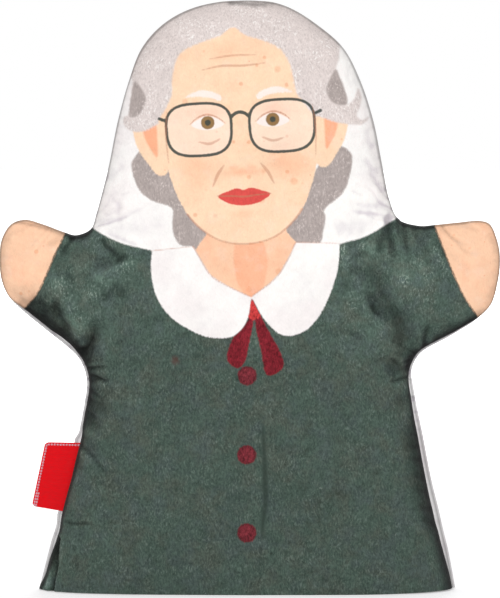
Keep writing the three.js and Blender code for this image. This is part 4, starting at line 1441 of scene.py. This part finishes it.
def soft_spots(name):
    """Soft scattered spots, 0 to 1, for the printed skin."""
    t, start, end = group(
        name,
        [
            ("Place", "NodeSocketVector", None),
            ("Scale", "NodeSocketFloat", 100.0),
            ("Rarity", "NodeSocketFloat", 0.7),
            ("Size", "NodeSocketFloat", 0.16),
        ],
        [("Spots", "NodeSocketFloat")],
    )
    given = start.outputs
    cells = t.fill(t.node("ShaderNodeTexVoronoi"), Vector=given["Place"], Scale=given["Scale"])
    parted = t.node("ShaderNodeSeparateColor", cells.outputs["Color"])
    chosen = t.math("GREATER_THAN", parted.outputs[0], given["Rarity"])
    size = t.math("MULTIPLY", given["Size"], t.math("ADD", parted.outputs[1], 0.5))
    round_spot = t.span(cells.outputs["Distance"], size, t.math("MULTIPLY", size, 0.45))
    t.link(t.math("MULTIPLY", chosen, round_spot), end.inputs["Spots"])
    return t.tree


def rgba(value, by=1.0):
    """A colour as sockets take it, darkened by a share."""
    return (*(part * by for part in value), 1.0)


def principled(name):
    """A new material with its Principled BSDF, and the words for building it."""
    material = bpy.data.materials.new(name)
    material.use_nodes = True
    material.node_tree.nodes.clear()
    t = Tree(material.node_tree)
    shader = t.node("ShaderNodeBsdfPrincipled")
    out = t.node("ShaderNodeOutputMaterial")
    t.link(shader.outputs[0], out.inputs[0])
    return material, t, shader


STAIN_AT = (-0.0376, 0, 0.1186)  # metres


class Pile:
    """The nap of one cloth material, and what is dyed and printed on it."""

    def __init__(self, t, cloth):
        self.t, self.cloth = t, cloth
        self.place = t.place()
        self.nap = t.node("ShaderNodeGroup", self.place, node_tree=shared("Short pile", pile_nap))

    def part(self, name, much=1.0):
        """One measure of the nap, by a share."""
        return self.t.math("MULTIPLY", self.nap.outputs[name], much)

    def field(self, name):
        """A number kept on the cloth's points."""
        node = self.t.node("ShaderNodeAttribute", attribute_name=name)
        return node.outputs["Fac"]

    def toned(self, colour, by_clump, by_comb):
        """The colour made lighter and darker along the pile."""
        tone = self.t.math("MULTIPLY_ADD", self.nap.outputs["Clump"], by_clump, 1.0)
        tone = self.t.math("MULTIPLY_ADD", self.nap.outputs["Comb"], by_comb, tone)
        return self.t.scaled(colour, tone)

    def wash(self, scale, detail, rough, low, high, much):
        """Cloudy patches, 0 to much."""
        return self.t.span(self.t.noise(self.place, scale, detail, rough), low, high, 0.0, much)

    def lay(self, below, ink, name, softness, strength, frayed):
        """Print one colour where the field of that name is above zero."""
        layer = self.t.node("ShaderNodeGroup", node_tree=shared("Printed layer", printed_layer))
        self.t.fill(
            layer, Below=below, Ink=ink, Inside=self.field(name), Fray=self.part("Fray", frayed),
            Softness=softness, Strength=strength,
        )
        return layer.outputs["Colour"], layer.outputs["Mask"]

    def lay_all(self, colour, layers):
        """Print several colours in order, and return the last one's mask."""
        for ink, *rest in layers:
            colour, mask = self.lay(colour, ink, *rest)
        return colour, mask

    def spots(self, scale, rarity, size, much):
        flat = self.t.stretch(self.place, 1, 0, 1)
        node = self.t.node(
            "ShaderNodeGroup", flat, scale, rarity, size, node_tree=shared("Soft spots", soft_spots)
        )
        return self.t.math("MULTIPLY", node.outputs[0], much)

    def white(self):
        t, cloth = self.t, self.cloth
        shade = t.math("MULTIPLY", t.span(self.nap.outputs["Drift"], 0.42, 0.66), 0.7)
        white = t.mixed(shade, rgba(cloth.white), rgba(cloth.white_shade))
        # painted shade: the white cloth turns greyer where the tone is darkened, mostly by the
        # painted fold shade
        fold_shade = t.span(self.field("tone"), 1.0, 0.7, 0.0, 0.7)
        return self.toned(t.mixed(fold_shade, white, rgba(cloth.white_fold_shade)), 0.07, 0.07)

    def skin(self):
        t, cloth = self.t, self.cloth
        blush = self.wash(95, 4, 0.66, 0.42, 0.7, 0.18)
        blush = t.math("ADD", self.field("blush"), blush, clamp=True)
        skin = t.mixed(blush, rgba(cloth.skin), rgba(cloth.blush))
        skin = t.mixed(self.wash(150, 3, 0.6, 0.5, 0.7, 0.1), skin, rgba(cloth.brow))
        spots = t.math("ADD", self.spots(125, 0.74, 0.2, 0.32), self.spots(260, 0.88, 0.26, 0.42))
        return self.toned(t.mixed(spots, skin, rgba(cloth.spots)), 0.07, 0.1)

    def light_hair(self):
        t, cloth = self.t, self.cloth
        hair = self.toned(rgba(cloth.hair), 0.11, 0.24)
        hair = t.mixed(self.part("Pits", 0.4), hair, rgba(cloth.hair_dark))
        return t.mixed(self.part("Tips", 0.7), hair, rgba(cloth.white))

    def dark_hair(self):
        hair = self.toned(rgba(self.cloth.hair_dark), 0.16, 0.34)
        return self.t.mixed(self.part("Tips", 0.75), hair, rgba(self.cloth.hair))

    def green(self):
        t, cloth = self.t, self.cloth
        green = t.mixed(self.nap.outputs["Warm"], rgba(cloth.dress), rgba(cloth.dress_warm))
        green = t.mixed(self.part("Cool", 0.8), green, rgba(cloth.dress_cool))
        green = self.toned(green, 0.34, 0.96)
        # more pale tips where the tone rises: partly at random, partly on the painted highlights of
        # fold lips and pale folds
        tip_share = t.span(self.field("tone"), 1.0, 1.3, 0.24, 0.6)
        green = t.mixed(self.part("Tips", tip_share), green, rgba(cloth.dress_tips))
        green = t.mixed(self.part("Pits", 0.26), green, rgba(cloth.dress, 0.4))
        flat = t.stretch(self.place, 1, 0, 1)
        far = t.node("ShaderNodeVectorMath", flat, STAIN_AT, operation="DISTANCE")
        ragged = t.math("MULTIPLY_ADD", self.nap.outputs["Fray"], 0.0012, far.outputs["Value"])
        return t.mixed(t.span(ragged, 0.0034, 0.0006, 0.0, 0.6), green, rgba(cloth.stain))

    def button(self):
        t, cloth = self.t, self.cloth
        edge = t.span(self.field("button"), 1.9, 0.2, 0.0, 0.5)
        return self.toned(t.mixed(edge, rgba(cloth.button), rgba(cloth.button, 0.45)), 0.6, 1.4)

    def front(self, white):
        """All colours of the front, and how much of each point is bare dress."""
        cloth = self.cloth
        dark_hair, dark_green = self.dark_hair(), rgba(cloth.dress, 0.4)
        brow, rims = rgba(cloth.brow), rgba(cloth.rims)
        brown = [part * by for part, by in zip(cloth.blush, (0.55, 0.5, 0.5))]
        # ink, its field, softness of its edge in mm, strength, fray of its edge in mm
        colour, _ = self.lay_all(
            white,
            (
                (dark_hair, "nape", 0.6, 1.0, 0.8),
                (self.skin(), "skin", 0.5, 1.0, 0.6),
                (self.light_hair(), "hair", 0.8, 1.0, 0.9),
                (dark_hair, "lock", 0.7, 1.0, 0.8),
                (brow, "lens", 0.4, 0.3, 0.5),
                (brow, "brow", 0.5, 0.85, 0.8),
                (brow, "eye", 0.4, 0.95, 0.3),
                (rgba(cloth.iris), "iris", 0.35, 1.0, 0.3),
                (rims, "pupil", 0.35, 0.9, 0.3),
                (self.toned(rgba(cloth.lips), 0.16, 0.2), "lips", 0.4, 1.0, 0.5),
                (rgba(brown), "line", 0.35, 0.75, 0.3),
                (self.toned(rims, 0.3, 0.5), "rim", 0.3, 0.95, 0.3),
            ),
        )
        colour, dress_mask = self.lay(colour, self.green(), "dress", 0.6, 1.0, 0.55)
        colour, collar_mask = self.lay_all(
            colour,
            (
                (dark_green, "placket", 0.9, 0.72, 1.2),
                (dark_green, "cuff", 0.35, 0.7, 0.6),
                (rgba(cloth.dress_tips), "lint", 0.3, 0.8, 0.1),
                (white, "collar", 0.5, 1.0, 0.5),
            ),
        )
        colour, _ = self.lay_all(
            colour,
            (
                (rgba(brown), "outline", 0.35, 0.5, 0.4),
                (self.toned(rgba(cloth.ribbon), 0.5, 1.1), "ribbon", 0.5, 1.0, 0.7),
                (self.toned(rgba(cloth.knot), 0.5, 1.1), "knot", 0.5, 1.0, 0.7),
                (self.button(), "button", 0.5, 1.0, 0.9),
            ),
        )
        return colour, self.t.math("SUBTRACT", dress_mask, collar_mask, clamp=True)


def cloth_material(cloth, with_print):
    """Short-pile cloth: dyed and printed colour, with painted shade in its folds and beside the
    seam and painted highlights on fold lips; on the back, a painted light rim and a brightened
    margin at the seam.
    """
    material, t, shader = principled(
        "Printed short-pile cloth" if with_print else "White short-pile cloth"
    )
    t.fill(shader, Specular_IOR_Level=0.15, Sheen_Weight=0.05, Sheen_Roughness=0.6)
    pile = Pile(t, cloth)
    colour = white = pile.white()
    seam = pile.field("seam")
    if with_print:
        colour, dressed = pile.front(white)
        # painted shade: how strongly the fold tone and the shade beside the seams darken the
        # colour, and a dark painted seam line, darkest on the dress
        power, edge_power = t.between(dressed, 0.45, 1.0), t.between(dressed, 0.22, 1.0)
        seam_dark, margin_light = t.between(dressed, 0.56, 0.16), 1.0
        seam_shade_reach = t.between(dressed, 0.35, 0.7), t.between(dressed, 1.3, 2.2)
    else:
        power, edge_power, seam_dark = 0.5, 0.1, 0.54
        seam_shade_reach = 0.35, 1.4
        # painted light: the back's margin beside the seam is brightened past its written colour,
        # and the rest of the back is a little darker than written
        margin_light = t.span(seam, 2.5, 7.0, 1.16, 0.95)
        colour = t.node("ShaderNodeVectorMath", colour, (0.975, 0.985, 1.01), operation="MULTIPLY")
    # random tone with painted fold shade and highlights, times the painted shade beside the seams
    tone_and_painted_shade = t.math("POWER", pile.field("tone"), power)
    tone_and_painted_shade = t.math("MULTIPLY", tone_and_painted_shade, t.math("POWER", pile.field("edge"), edge_power))
    # painted shade as a dark line along the seam, rising to the margin's level further in
    seam_shaded = t.between(t.span(seam, *seam_shade_reach), seam_dark, margin_light)
    if not with_print:
        # painted light on the outermost rim of the back's edge, stronger on the right
        across = t.node("ShaderNodeSeparateXYZ", pile.place).outputs["X"]
        frayed = t.span(across, -0.01, 0.01, 0.2, 0.36)
        seam_shaded = t.math("MULTIPLY_ADD", t.span(seam, 0.0, 0.45, 1.0, 0.0), frayed, seam_shaded)
    # the colour under all of this painted shade and light
    shaded_colour = t.scaled(colour, t.math("MULTIPLY", tone_and_painted_shade, seam_shaded))
    height = pile.nap.outputs["Height"]
    t.fill(shader, Base_Color=shaded_colour, Roughness=t.span(height, 0.4, 1.0, 0.98, 0.82))
    t.bump(shader, height, 0.0008, 0.7)
    return material


# Label -------------------------------------------------------------------------

# Corners of the folded label in mm: inside the seam high, outside high, outside low, inside low.
LABEL_CORNERS = ((-82.4, 74.8), (-103.8, 75.2), (-110.6, 42.7), (-90.6, 39.3))
LABEL_WIDE, LABEL_TALL, LABEL_ROUND = 19.0, 32.0, 1.7
LABEL_COLS, LABEL_ROWS, LABEL_END_ROWS, LABEL_TURNS = 24, 40, 6, 8  # faces across, along, round
RIBBON, RIBBON_GAP = 0.5, 0.25  # thickness of the ribbon, and room between its two layers


def label_point(inward, up):
    """Place in mm of a point on the label, from its outer edge and its lower end."""
    a, b, c, d = (np.array(corner) for corner in LABEL_CORNERS)
    u, v = inward / LABEL_WIDE, up / LABEL_TALL
    x, z = mix(mix(c, b, v), mix(d, a, v), u)
    wave = 0.25 * math.sin(up / 5.1 + 0.6) * (1 - u)
    return x, wave, z


def label_section(up):
    """The ribbon's section at this height: once round its outer face, and back along the inner."""
    thick = RIBBON + RIBBON_GAP / 2
    beyond = max(0.0, LABEL_ROUND - min(up, LABEL_TALL - up))
    start = thick + LABEL_ROUND - math.sqrt(max(0.0, LABEL_ROUND**2 - beyond**2))
    outside, inside = [], []

    def side(ks, sign):
        for k in ks:
            at = mix(LABEL_WIDE, start, k / LABEL_COLS)
            outside.append((at, sign * thick))
            inside.append((at, sign * RIBBON_GAP / 2))

    side(range(LABEL_COLS + 1), -1)
    for k in range(1, LABEL_TURNS):
        s, c = math.sin(k * math.pi / LABEL_TURNS), math.cos(k * math.pi / LABEL_TURNS)
        outside.append((start - thick * s, -thick * c))
        inside.append((start - RIBBON_GAP / 2 * s, -RIBBON_GAP / 2 * c))
    side(range(LABEL_COLS, -1, -1), 1)
    return outside + inside[::-1]


def build_label(context):
    """The folded ribbon, closed at both ends."""
    cloth = context.scene.puppet_cloth
    turns = 2 * LABEL_END_ROWS
    ends = [LABEL_ROUND * (1 - math.cos(k * math.pi / turns)) for k in range(LABEL_END_ROWS)]
    middle = list(np.linspace(LABEL_ROUND, LABEL_TALL - LABEL_ROUND, LABEL_ROWS))
    rows = ends + middle + [LABEL_TALL - e for e in ends[::-1]]
    vertices, faces = [], []
    for up in rows:
        for at, y in label_section(up):
            px, wave, pz = label_point(at, up)
            vertices.append((px, y + wave, pz))
    half = 2 * (LABEL_COLS + 1) + LABEL_TURNS - 1
    n = 2 * half
    for j in range(len(rows) - 1):
        for k in range(n):
            a, b = j * n + k, j * n + (k + 1) % n
            faces.append((a, b, b + n, a + n))
    for j, turned in ((0, True), (len(rows) - 1, False)):
        for k in range(half - 1):
            a, b = j * n + k, j * n + k + 1
            c, d = j * n + n - 2 - k, j * n + n - 1 - k
            faces.append((a, d, c, b) if turned else (a, b, c, d))
    label = make_mesh("side_label_ribbon", vertices, faces)
    label.data.materials.append(label_material(cloth))
    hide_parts("side_label")
    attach(label, "torso")


def stitch_row(material):
    """Node tree that lays rounded stitches end to end along the piece's edges."""
    tree = bpy.data.node_groups.new("Row of stitches", "GeometryNodeTree")
    made = {}
    for label, kind, default in (
        ("Geometry", "NodeSocketGeometry", None),
        ("Spacing", "NodeSocketFloat", 0.0014),
        ("Length", "NodeSocketFloat", 0.00095),
        ("Thickness", "NodeSocketFloat", 0.00034),
        ("Wander", "NodeSocketFloat", 0.00003),
        ("Seed", "NodeSocketInt", 4),
    ):
        made[label] = tree.interface.new_socket(label, in_out="INPUT", socket_type=kind)
        if default is not None:
            made[label].default_value = default
    tree.interface.new_socket("Geometry", in_out="OUTPUT", socket_type="NodeSocketGeometry")
    t = Tree(tree)
    start, end = t.node("NodeGroupInput"), t.node("NodeGroupOutput")
    given = start.outputs
    path = t.node("GeometryNodeMeshToCurve", given["Geometry"])
    spaced = t.fill(
        t.node("GeometryNodeResampleCurve", mode="LENGTH"), Curve=path, Length=given["Spacing"]
    )
    ball = t.fill(t.node("GeometryNodeMeshUVSphere"), Segments=8, Rings=6, Radius=0.5)
    size = t.node("ShaderNodeCombineXYZ", given["Thickness"], given["Thickness"], given["Length"])
    sized = t.fill(t.node("GeometryNodeTransform"), Geometry=ball, Scale=size)
    along = t.node("GeometryNodeInputTangent")
    turned = t.fill(t.node("FunctionNodeAlignEulerToVector", axis="Z"), Vector=along)
    placed = t.fill(
        t.node("GeometryNodeInstanceOnPoints"), Points=spaced, Instance=sized, Rotation=turned
    )
    least = t.math("MULTIPLY", given["Wander"], -1.0)
    shift = t.fill(
        t.node("FunctionNodeRandomValue", data_type="FLOAT_VECTOR"),
        Min=least, Max=given["Wander"], Seed=given["Seed"],
    )
    moved = t.fill(t.node("GeometryNodeTranslateInstances"), Instances=placed, Translation=shift)
    real = t.node("GeometryNodeRealizeInstances", moved)
    rounded = t.node("GeometryNodeSetShadeSmooth", real)
    painted = t.fill(t.node("GeometryNodeSetMaterial", rounded), Material=material)
    t.link(painted, end.inputs[0])
    return tree, made


STITCH_STEP = 0.25  # mm between the points of a row
OUTER_ROW, INNER_ROW, TOP_ROW = 1.0, 1.9, LABEL_TALL - 1.0  # from the outer edge, and up
STITCHES = {"Spacing": 0.0014, "Length": 0.0013, "Thickness": 0.00112, "Seed": 7}


def build_stitches(context):
    """Down the outer edge, a short second row at its foot, and along the top, on both faces."""
    cloth = context.scene.puppet_cloth
    vertices, edges = [], []
    rows = (
        [(OUTER_ROW, 0.9 + STITCH_STEP * k) for k in range(119)],
        [(INNER_ROW, 0.8 + STITCH_STEP * k) for k in range(24)],
        [(INNER_ROW + STITCH_STEP * k, TOP_ROW) for k in range(60)],
    )
    for side in SIDES:
        y = side * (RIBBON + RIBBON_GAP / 2 + 0.04)
        for row in rows:
            edges += [(len(vertices) + k, len(vertices) + k + 1) for k in range(len(row) - 1)]
            for inward, up in row:
                x, wave, z = label_point(inward, up)
                vertices.append((x * MM, (y + wave) * MM, z * MM))
    mesh = bpy.data.meshes.new("stitch rows")
    mesh.from_pydata(vertices, edges, [])
    guide = bpy.data.objects.new("stitch rows", mesh)
    context.scene.collection.objects.link(guide)
    tree, made = stitch_row(thread_material(cloth))
    modifier = guide.modifiers.new("Stitches", "NODES")
    modifier.node_group = tree
    for label, value in STITCHES.items():
        modifier[made[label].identifier] = value
    context.view_layer.update()
    depsgraph = context.evaluated_depsgraph_get()
    result = bpy.data.meshes.new_from_object(guide.evaluated_get(depsgraph))
    bpy.data.objects.remove(guide)
    result.name = "label_stitches"
    stitches = bpy.data.objects.new("label_stitches", result)
    context.scene.collection.objects.link(stitches)
    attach(stitches, "torso")


def banded(t, place, direction, scale, distortion=0.0):
    """Soft even bands, 0 to 1."""
    node = t.node("ShaderNodeTexWave", wave_type="BANDS", bands_direction=direction)
    return t.fill(node, Vector=place, Scale=scale, Distortion=distortion).outputs["Fac"]


def thread_material(cloth):
    """Twisted thread, with its plies as fine slanting bands."""
    material, t, shader = principled("Label thread")
    t.fill(shader, Specular_IOR_Level=0.4)
    ply = banded(t, t.place(), "DIAGONAL", 1600.0)
    colour = t.scaled(rgba(cloth.label_thread), t.math("MULTIPLY_ADD", ply, 0.25, 0.8))
    t.fill(shader, Base_Color=colour, Roughness=t.span(ply, 0.0, 1.0, 0.45, 0.65))
    t.bump(shader, ply, 0.0001)
    return material


def label_material(cloth):
    """Woven ribbon with fine ribs, with painted shade where it goes into the seam."""
    material, t, shader = principled("Woven label ribbon")
    t.fill(shader, Specular_IOR_Level=0.12, Sheen_Weight=0.04)
    place = t.place()
    ribs = banded(t, place, "Z", 520.0, 0.6)
    picks = t.noise(t.stretch(place, 0.25, 1, 1), 1600.0, 2.0)
    tone = t.math("ADD", t.math("MULTIPLY", ribs, 0.14), t.math("MULTIPLY", picks, 0.3))
    tone = t.math("ADD", tone, 0.78)
    parts = t.node("ShaderNodeSeparateXYZ", place).outputs
    inward = t.math("MULTIPLY_ADD", parts["Z"], -0.231, parts["X"])
    # painted shade: the ribbon darkens towards the seam
    tone = t.math("MULTIPLY", tone, t.span(inward, -0.106, -0.0995, 1.0, 0.62))
    t.fill(
        shader,
        Base_Color=t.scaled(rgba(cloth.label), tone),
        Roughness=t.span(picks, 0.3, 0.7, 0.5, 0.75),
    )
    t.bump(shader, t.math("ADD", ribs, picks), 0.0002, 0.5)
    return material


# Stage ---------------------------------------------------------------------------

FLOOR_HALF = 3  # metres, as is the rest here
FLOOR_COLOUR = (0.86, 0.86, 0.87, 1)
LAMPS = {"Front softbox": (-0.08, -1.9, 0.8), "Back softbox": (0.2, 1.9, 0.75)}
LAMP_SIZE, LAMP_AIM = 0.8, (0, 0, 0.15)
CAMERA_AIM = (0.00025, 0, 0.1482)
FILM = 36  # mm


def build_floor(context):
    """A pale floor that looks white to the camera further out, and keeps its shadow."""
    h = FLOOR_HALF
    mesh = bpy.data.meshes.new("floor")
    mesh.from_pydata([(-h, -h, 0), (h, -h, 0), (h, h, 0), (-h, h, 0)], [], [(0, 1, 2, 3)])
    floor = bpy.data.objects.new("floor", mesh)
    context.scene.collection.objects.link(floor)
    material = bpy.data.materials.new("Pale floor")
    material.use_nodes = True
    material.node_tree.nodes.clear()
    t = Tree(material.node_tree)
    paper = t.fill(t.node("ShaderNodeBsdfDiffuse"), Color=FLOOR_COLOUR)
    camera_ray = t.node("ShaderNodeLightPath").outputs["Is Camera Ray"]
    away = t.node("ShaderNodeVectorMath", t.place(), operation="LENGTH").outputs["Value"]
    strength = t.math("MULTIPLY", camera_ray, t.span(away, 0.2, 0.9, 0.34, 1.0))
    glow = t.fill(t.node("ShaderNodeEmission"), Strength=strength)
    both = t.node("ShaderNodeAddShader", paper, glow)
    t.node("ShaderNodeOutputMaterial", both)
    floor.data.materials.append(material)


def build_light(context):
    """Even light from all round, seen as white, and a soft lamp on either side."""
    scene, st = context.scene, context.scene.puppet_stage
    world = bpy.data.worlds.new("Even light")
    scene.world = world
    world.use_nodes = True
    world.node_tree.nodes.clear()
    t = Tree(world.node_tree)
    path = t.node("ShaderNodeLightPath").outputs
    seen = t.math("ADD", path["Is Camera Ray"], path["Is Glossy Ray"])
    seen = t.math("ADD", seen, path["Is Transmission Ray"], clamp=True)
    shine = t.fill(
        t.node("ShaderNodeBackground"), Color=(1, 1, 1, 1), Strength=t.between(seen, st.sky, 1.0)
    )
    t.node("ShaderNodeOutputWorld", shine)
    for name, at in LAMPS.items():
        light = bpy.data.lights.new(name, "AREA")
        light.shape = "DISK"
        light.size = LAMP_SIZE
        light.energy = st.key
        obj = bpy.data.objects.new(name, light)
        obj.location = at
        obj.rotation_euler = (Vector(LAMP_AIM) - Vector(at)).to_track_quat("-Z", "Y").to_euler()
        obj.visible_camera = False
        scene.collection.objects.link(obj)


def build_camera(context):
    """The photograph's view: its frame is as tall as so many millimetres at the puppet."""
    scene, st = context.scene, context.scene.puppet_stage
    camera = bpy.data.cameras.new("Camera")
    camera.lens = FILM * st.distance / (PHOTO_TALL * PIXEL * MM)
    camera.clip_start, camera.clip_end = 0.05, 50
    obj = bpy.data.objects.new("Camera", camera)
    back = Vector((0, -math.cos(st.tilt), math.sin(st.tilt)))
    obj.location = Vector(CAMERA_AIM) + back * st.distance
    obj.rotation_euler = (-back).to_track_quat("-Z", "Y").to_euler()
    scene.collection.objects.link(obj)
    scene.camera = obj
    scene.view_settings.view_transform = "Standard"


# Add-on --------------------------------------------------------------------------


class PUPPET_OT_front(bpy.types.Operator):
    """Make the printed front panel"""

    bl_idname = "puppet.front"
    bl_label = "Front panel"

    def execute(self, context):
        build_panel(context, -1)
        return {"FINISHED"}


class PUPPET_OT_back(bpy.types.Operator):
    """Make the white back panel"""

    bl_idname = "puppet.back"
    bl_label = "Back panel"

    def execute(self, context):
        build_panel(context, 1)
        return {"FINISHED"}


class PUPPET_OT_label(bpy.types.Operator):
    """Make the woven side label and its rows of stitches"""

    bl_idname = "puppet.label"
    bl_label = "Side label"

    def execute(self, context):
        build_label(context)
        build_stitches(context)
        return {"FINISHED"}


class PUPPET_OT_stage(bpy.types.Operator):
    """Make the floor, lights and camera"""

    bl_idname = "puppet.stage"
    bl_label = "Floor, lights and camera"

    def execute(self, context):
        build_floor(context)
        build_light(context)
        build_camera(context)
        return {"FINISHED"}


class PUPPET_PT_panel(bpy.types.Panel):
    """Sizes, colours and the steps that make the puppet"""

    bl_label = "Felt hand puppet"
    bl_idname = "PUPPET_PT_panel"
    bl_space_type = "VIEW_3D"
    bl_region_type = "UI"
    bl_category = "Puppet"

    def draw(self, context):
        layout = self.layout
        for operator in STEPS:
            layout.operator(operator.bl_idname)
        for name in ("puppet_shape", "puppet_cloth", "puppet_stage"):
            group_of = getattr(context.scene, name)
            box = layout.box()
            for prop in group_of.__annotations__:
                box.prop(group_of, prop)


GROUPS = {"puppet_shape": PuppetShape, "puppet_cloth": PuppetCloth, "puppet_stage": PuppetStage}
STEPS = [PUPPET_OT_front, PUPPET_OT_back, PUPPET_OT_label, PUPPET_OT_stage]


def register():
    for name, kind in GROUPS.items():
        bpy.utils.register_class(kind)
        setattr(bpy.types.Scene, name, PointerProperty(type=kind))
    for kind in [*STEPS, PUPPET_PT_panel]:
        bpy.utils.register_class(kind)


def unregister():
    for kind in reversed([*STEPS, PUPPET_PT_panel]):
        bpy.utils.unregister_class(kind)
    for name, kind in reversed(GROUPS.items()):
        delattr(bpy.types.Scene, name)
        bpy.utils.unregister_class(kind)


def main():
    register()
    for step in STEPS:
        area, name = step.bl_idname.split(".")
        getattr(getattr(bpy.ops, area), name)()
    bpy.context.view_layer.update()


if __name__ == "__main__":
    main()
